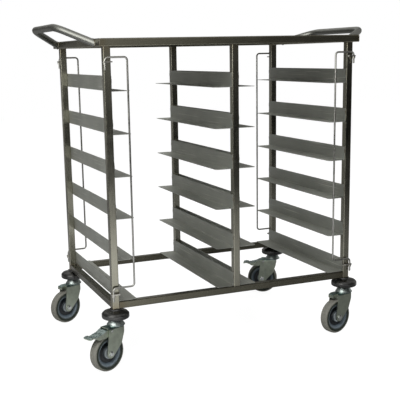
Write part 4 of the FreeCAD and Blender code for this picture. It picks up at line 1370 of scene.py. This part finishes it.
def make_floor():
    """Pale floor: white to the camera, with a light shadow.

    Steel mirrors it as pools of light on the left and the right, near the cart, with a painted shadow of the
    cart dimming them near, beside, behind and under it."""
    plan = np.array(((-1.0, -1.0, 0.0), (1.0, -1.0, 0.0), (1.0, 1.0, 0.0), (-1.0, 1.0, 0.0)))
    floor = mesh_object("floor", [(FLOOR_HALF * plan, [(0, 1, 2, 3)])])
    net = Net("floor_white")
    net.nodes.remove(net.nodes["Principled BSDF"])
    path = net.nodes.new("ShaderNodeLightPath")
    across, ahead, _ = net.axes(net.coordinates())
    # Shares of the pool; all but the leftward, near and far-left fades paint the cart's shadow
    shares = (
        net.fade(across, POOL_LEFTWARD),
        net.fade(net.length(across, ahead), POOL_NEAR),
        net.fade(net.length(across, net.math("MULTIPLY", ahead, POOL_DEPTH)), POOL_SHADED),
        net.fade(net.apart(across, ahead, DARK_PLACE), POOL_DARKER),
        net.fade(across, POOL_FAR_LEFT),
        net.outside(net.fade(across, POOL_BESIDE), net.fade(ahead, POOL_BEHIND)),
        net.outside(net.fade(ahead, POOL_BEYOND), net.fade(across, POOL_UNDER)),
    )
    pool = FLOOR_POOL
    for share in shares:
        pool = net.math("MULTIPLY", share, pool)
    right_pool = net.math("MULTIPLY", net.fade(across, RIGHT_POOL), net.fade(ahead, RIGHT_POOL_FRONT))
    pool = net.math("ADD", pool, right_pool)
    seen = net.math("MAXIMUM", path.outputs["Is Camera Ray"], path.outputs["Is Transmission Ray"])
    white = net.math("MULTIPLY", seen, FLOOR_WHITE)
    mirrored = net.math("MULTIPLY", path.outputs["Is Glossy Ray"], pool)
    glow = glow_shader(net, net.math("ADD", white, mirrored))
    lit = joined_shader(net, "ShaderNodeAddShader", matt_shader(net, FLOOR_SHADOW), glow)
    shown = net.math("MAXIMUM", seen, path.outputs["Is Glossy Ray"])
    surface = joined_shader(net, "ShaderNodeMixShader", matt_shader(net, FLOOR_GREY), lit, shown)
    net.links.new(surface, net.nodes["Material Output"].inputs["Surface"])
    floor.data.materials.append(net.material)


def wall_glow(net, across, ahead, up):
    """Walls of the dim room: brighter on the left and in front than behind, with a soft right-hand glow."""
    on_left = net.fade(across, WALL_ON_LEFT)
    back_left = net.math("MULTIPLY", on_left, net.fade(ahead, WALL_AT_BACK))
    leftward = net.math("MULTIPLY", net.fade(across, WALL_LEFT), net.fade(across, WALL_RIGHTWARD))
    in_front = net.math("MULTIPLY", leftward, net.fade(up, WALL_RAISED))
    rest = net.math("MULTIPLY", in_front, net.math("SUBTRACT", 1.0, back_left))
    low_wall = net.math("MULTIPLY", back_left, net.fade(up, WALL_BACK_LEFT))
    back_right = net.math("MULTIPLY", net.fade(ahead, WALL_BEHIND), net.math("SUBTRACT", 1.0, on_left))
    right_wall = net.fade(across, RIGHT_WALL)
    for stretch in (RIGHT_WALL_FRONT, RIGHT_WALL_BACK):
        right_wall = net.math("MULTIPLY", right_wall, net.fade(ahead, stretch))
    return net.total(rest, low_wall, back_right, right_wall)


def make_dome():
    """Dim room for the steel to mirror, out of the camera's sight: a surface of revolution about Z.

    radius = R up to the shoulder, then R cos a while the height climbs to the top as sin a, for a to nearly
    90 degrees. A tall window glows on the left, and the ceiling and a skylight behind glow a little."""
    rise = np.radians(np.linspace(0.0, DOME_LAST_RING, DOME_RINGS))
    radius = np.concatenate(((DOME_RADIUS,), DOME_RADIUS * np.cos(rise)))
    height = np.concatenate(((0.0,), DOME_SHOULDER + (DOME_TOP - DOME_SHOULDER) * np.sin(rise)))
    turn = np.linspace(0.0, FULL_TURN, DOME_STEPS, endpoint=False)[:, None]
    points = np.stack((radius * np.cos(turn), radius * np.sin(turn), height + 0.0 * turn), axis=-1)
    dome = mesh_object("studio_dome", [grid_mesh(points, around=True, along=False)])
    net = Net("dome_dim")
    net.nodes.remove(net.nodes["Principled BSDF"])
    across, ahead, up = net.axes(net.coordinates())
    window = net.fade(net.apart(across, ahead, WINDOW), WINDOW_GLOW)
    for stretch in (WINDOW_SILL, WINDOW_HEAD):
        window = net.math("MULTIPLY", window, net.fade(up, stretch))
    ceiling = net.fade(up, CEILING_GLOW)
    skylight = net.math("MULTIPLY", net.fade(ahead, SKYLIGHT_GLOW), net.fade(up, SKYLIGHT_RAISED))
    strength = net.total(wall_glow(net, across, ahead, up), window, ceiling, skylight)
    glow = glow_shader(net, strength, DOME_WARMTH)
    net.links.new(glow, net.nodes["Material Output"].inputs["Surface"])
    dome.data.materials.append(net.material)
    dome.visible_camera = False
    dome.visible_diffuse = False
    dome.visible_shadow = False
    dome.visible_transmission = False


def make_lamp(name, place, width, height, watts):
    """Soft box at a place, facing the cart's middle and not mirrored by the steel."""
    data = bpy.data.lights.new(name, "AREA")
    data.shape = "RECTANGLE"
    data.size = width
    data.size_y = height
    data.energy = watts
    back = np.array(place, float) - (cad_box[0] + cad_box[1]) / 2.0
    back /= np.linalg.norm(back)
    side = np.cross(Z_WAY, back)
    side /= np.linalg.norm(side)
    lamp = placed(data, name, side, np.cross(back, side), back, place)
    lamp.visible_glossy = False


dress_frame()
dress_casters()
make_camera()
make_world()
make_floor()
make_dome()
for box_name, settings in SOFT_BOXES.items():
    make_lamp(box_name, *settings)
bpy.context.scene.view_settings.view_transform = "Standard"
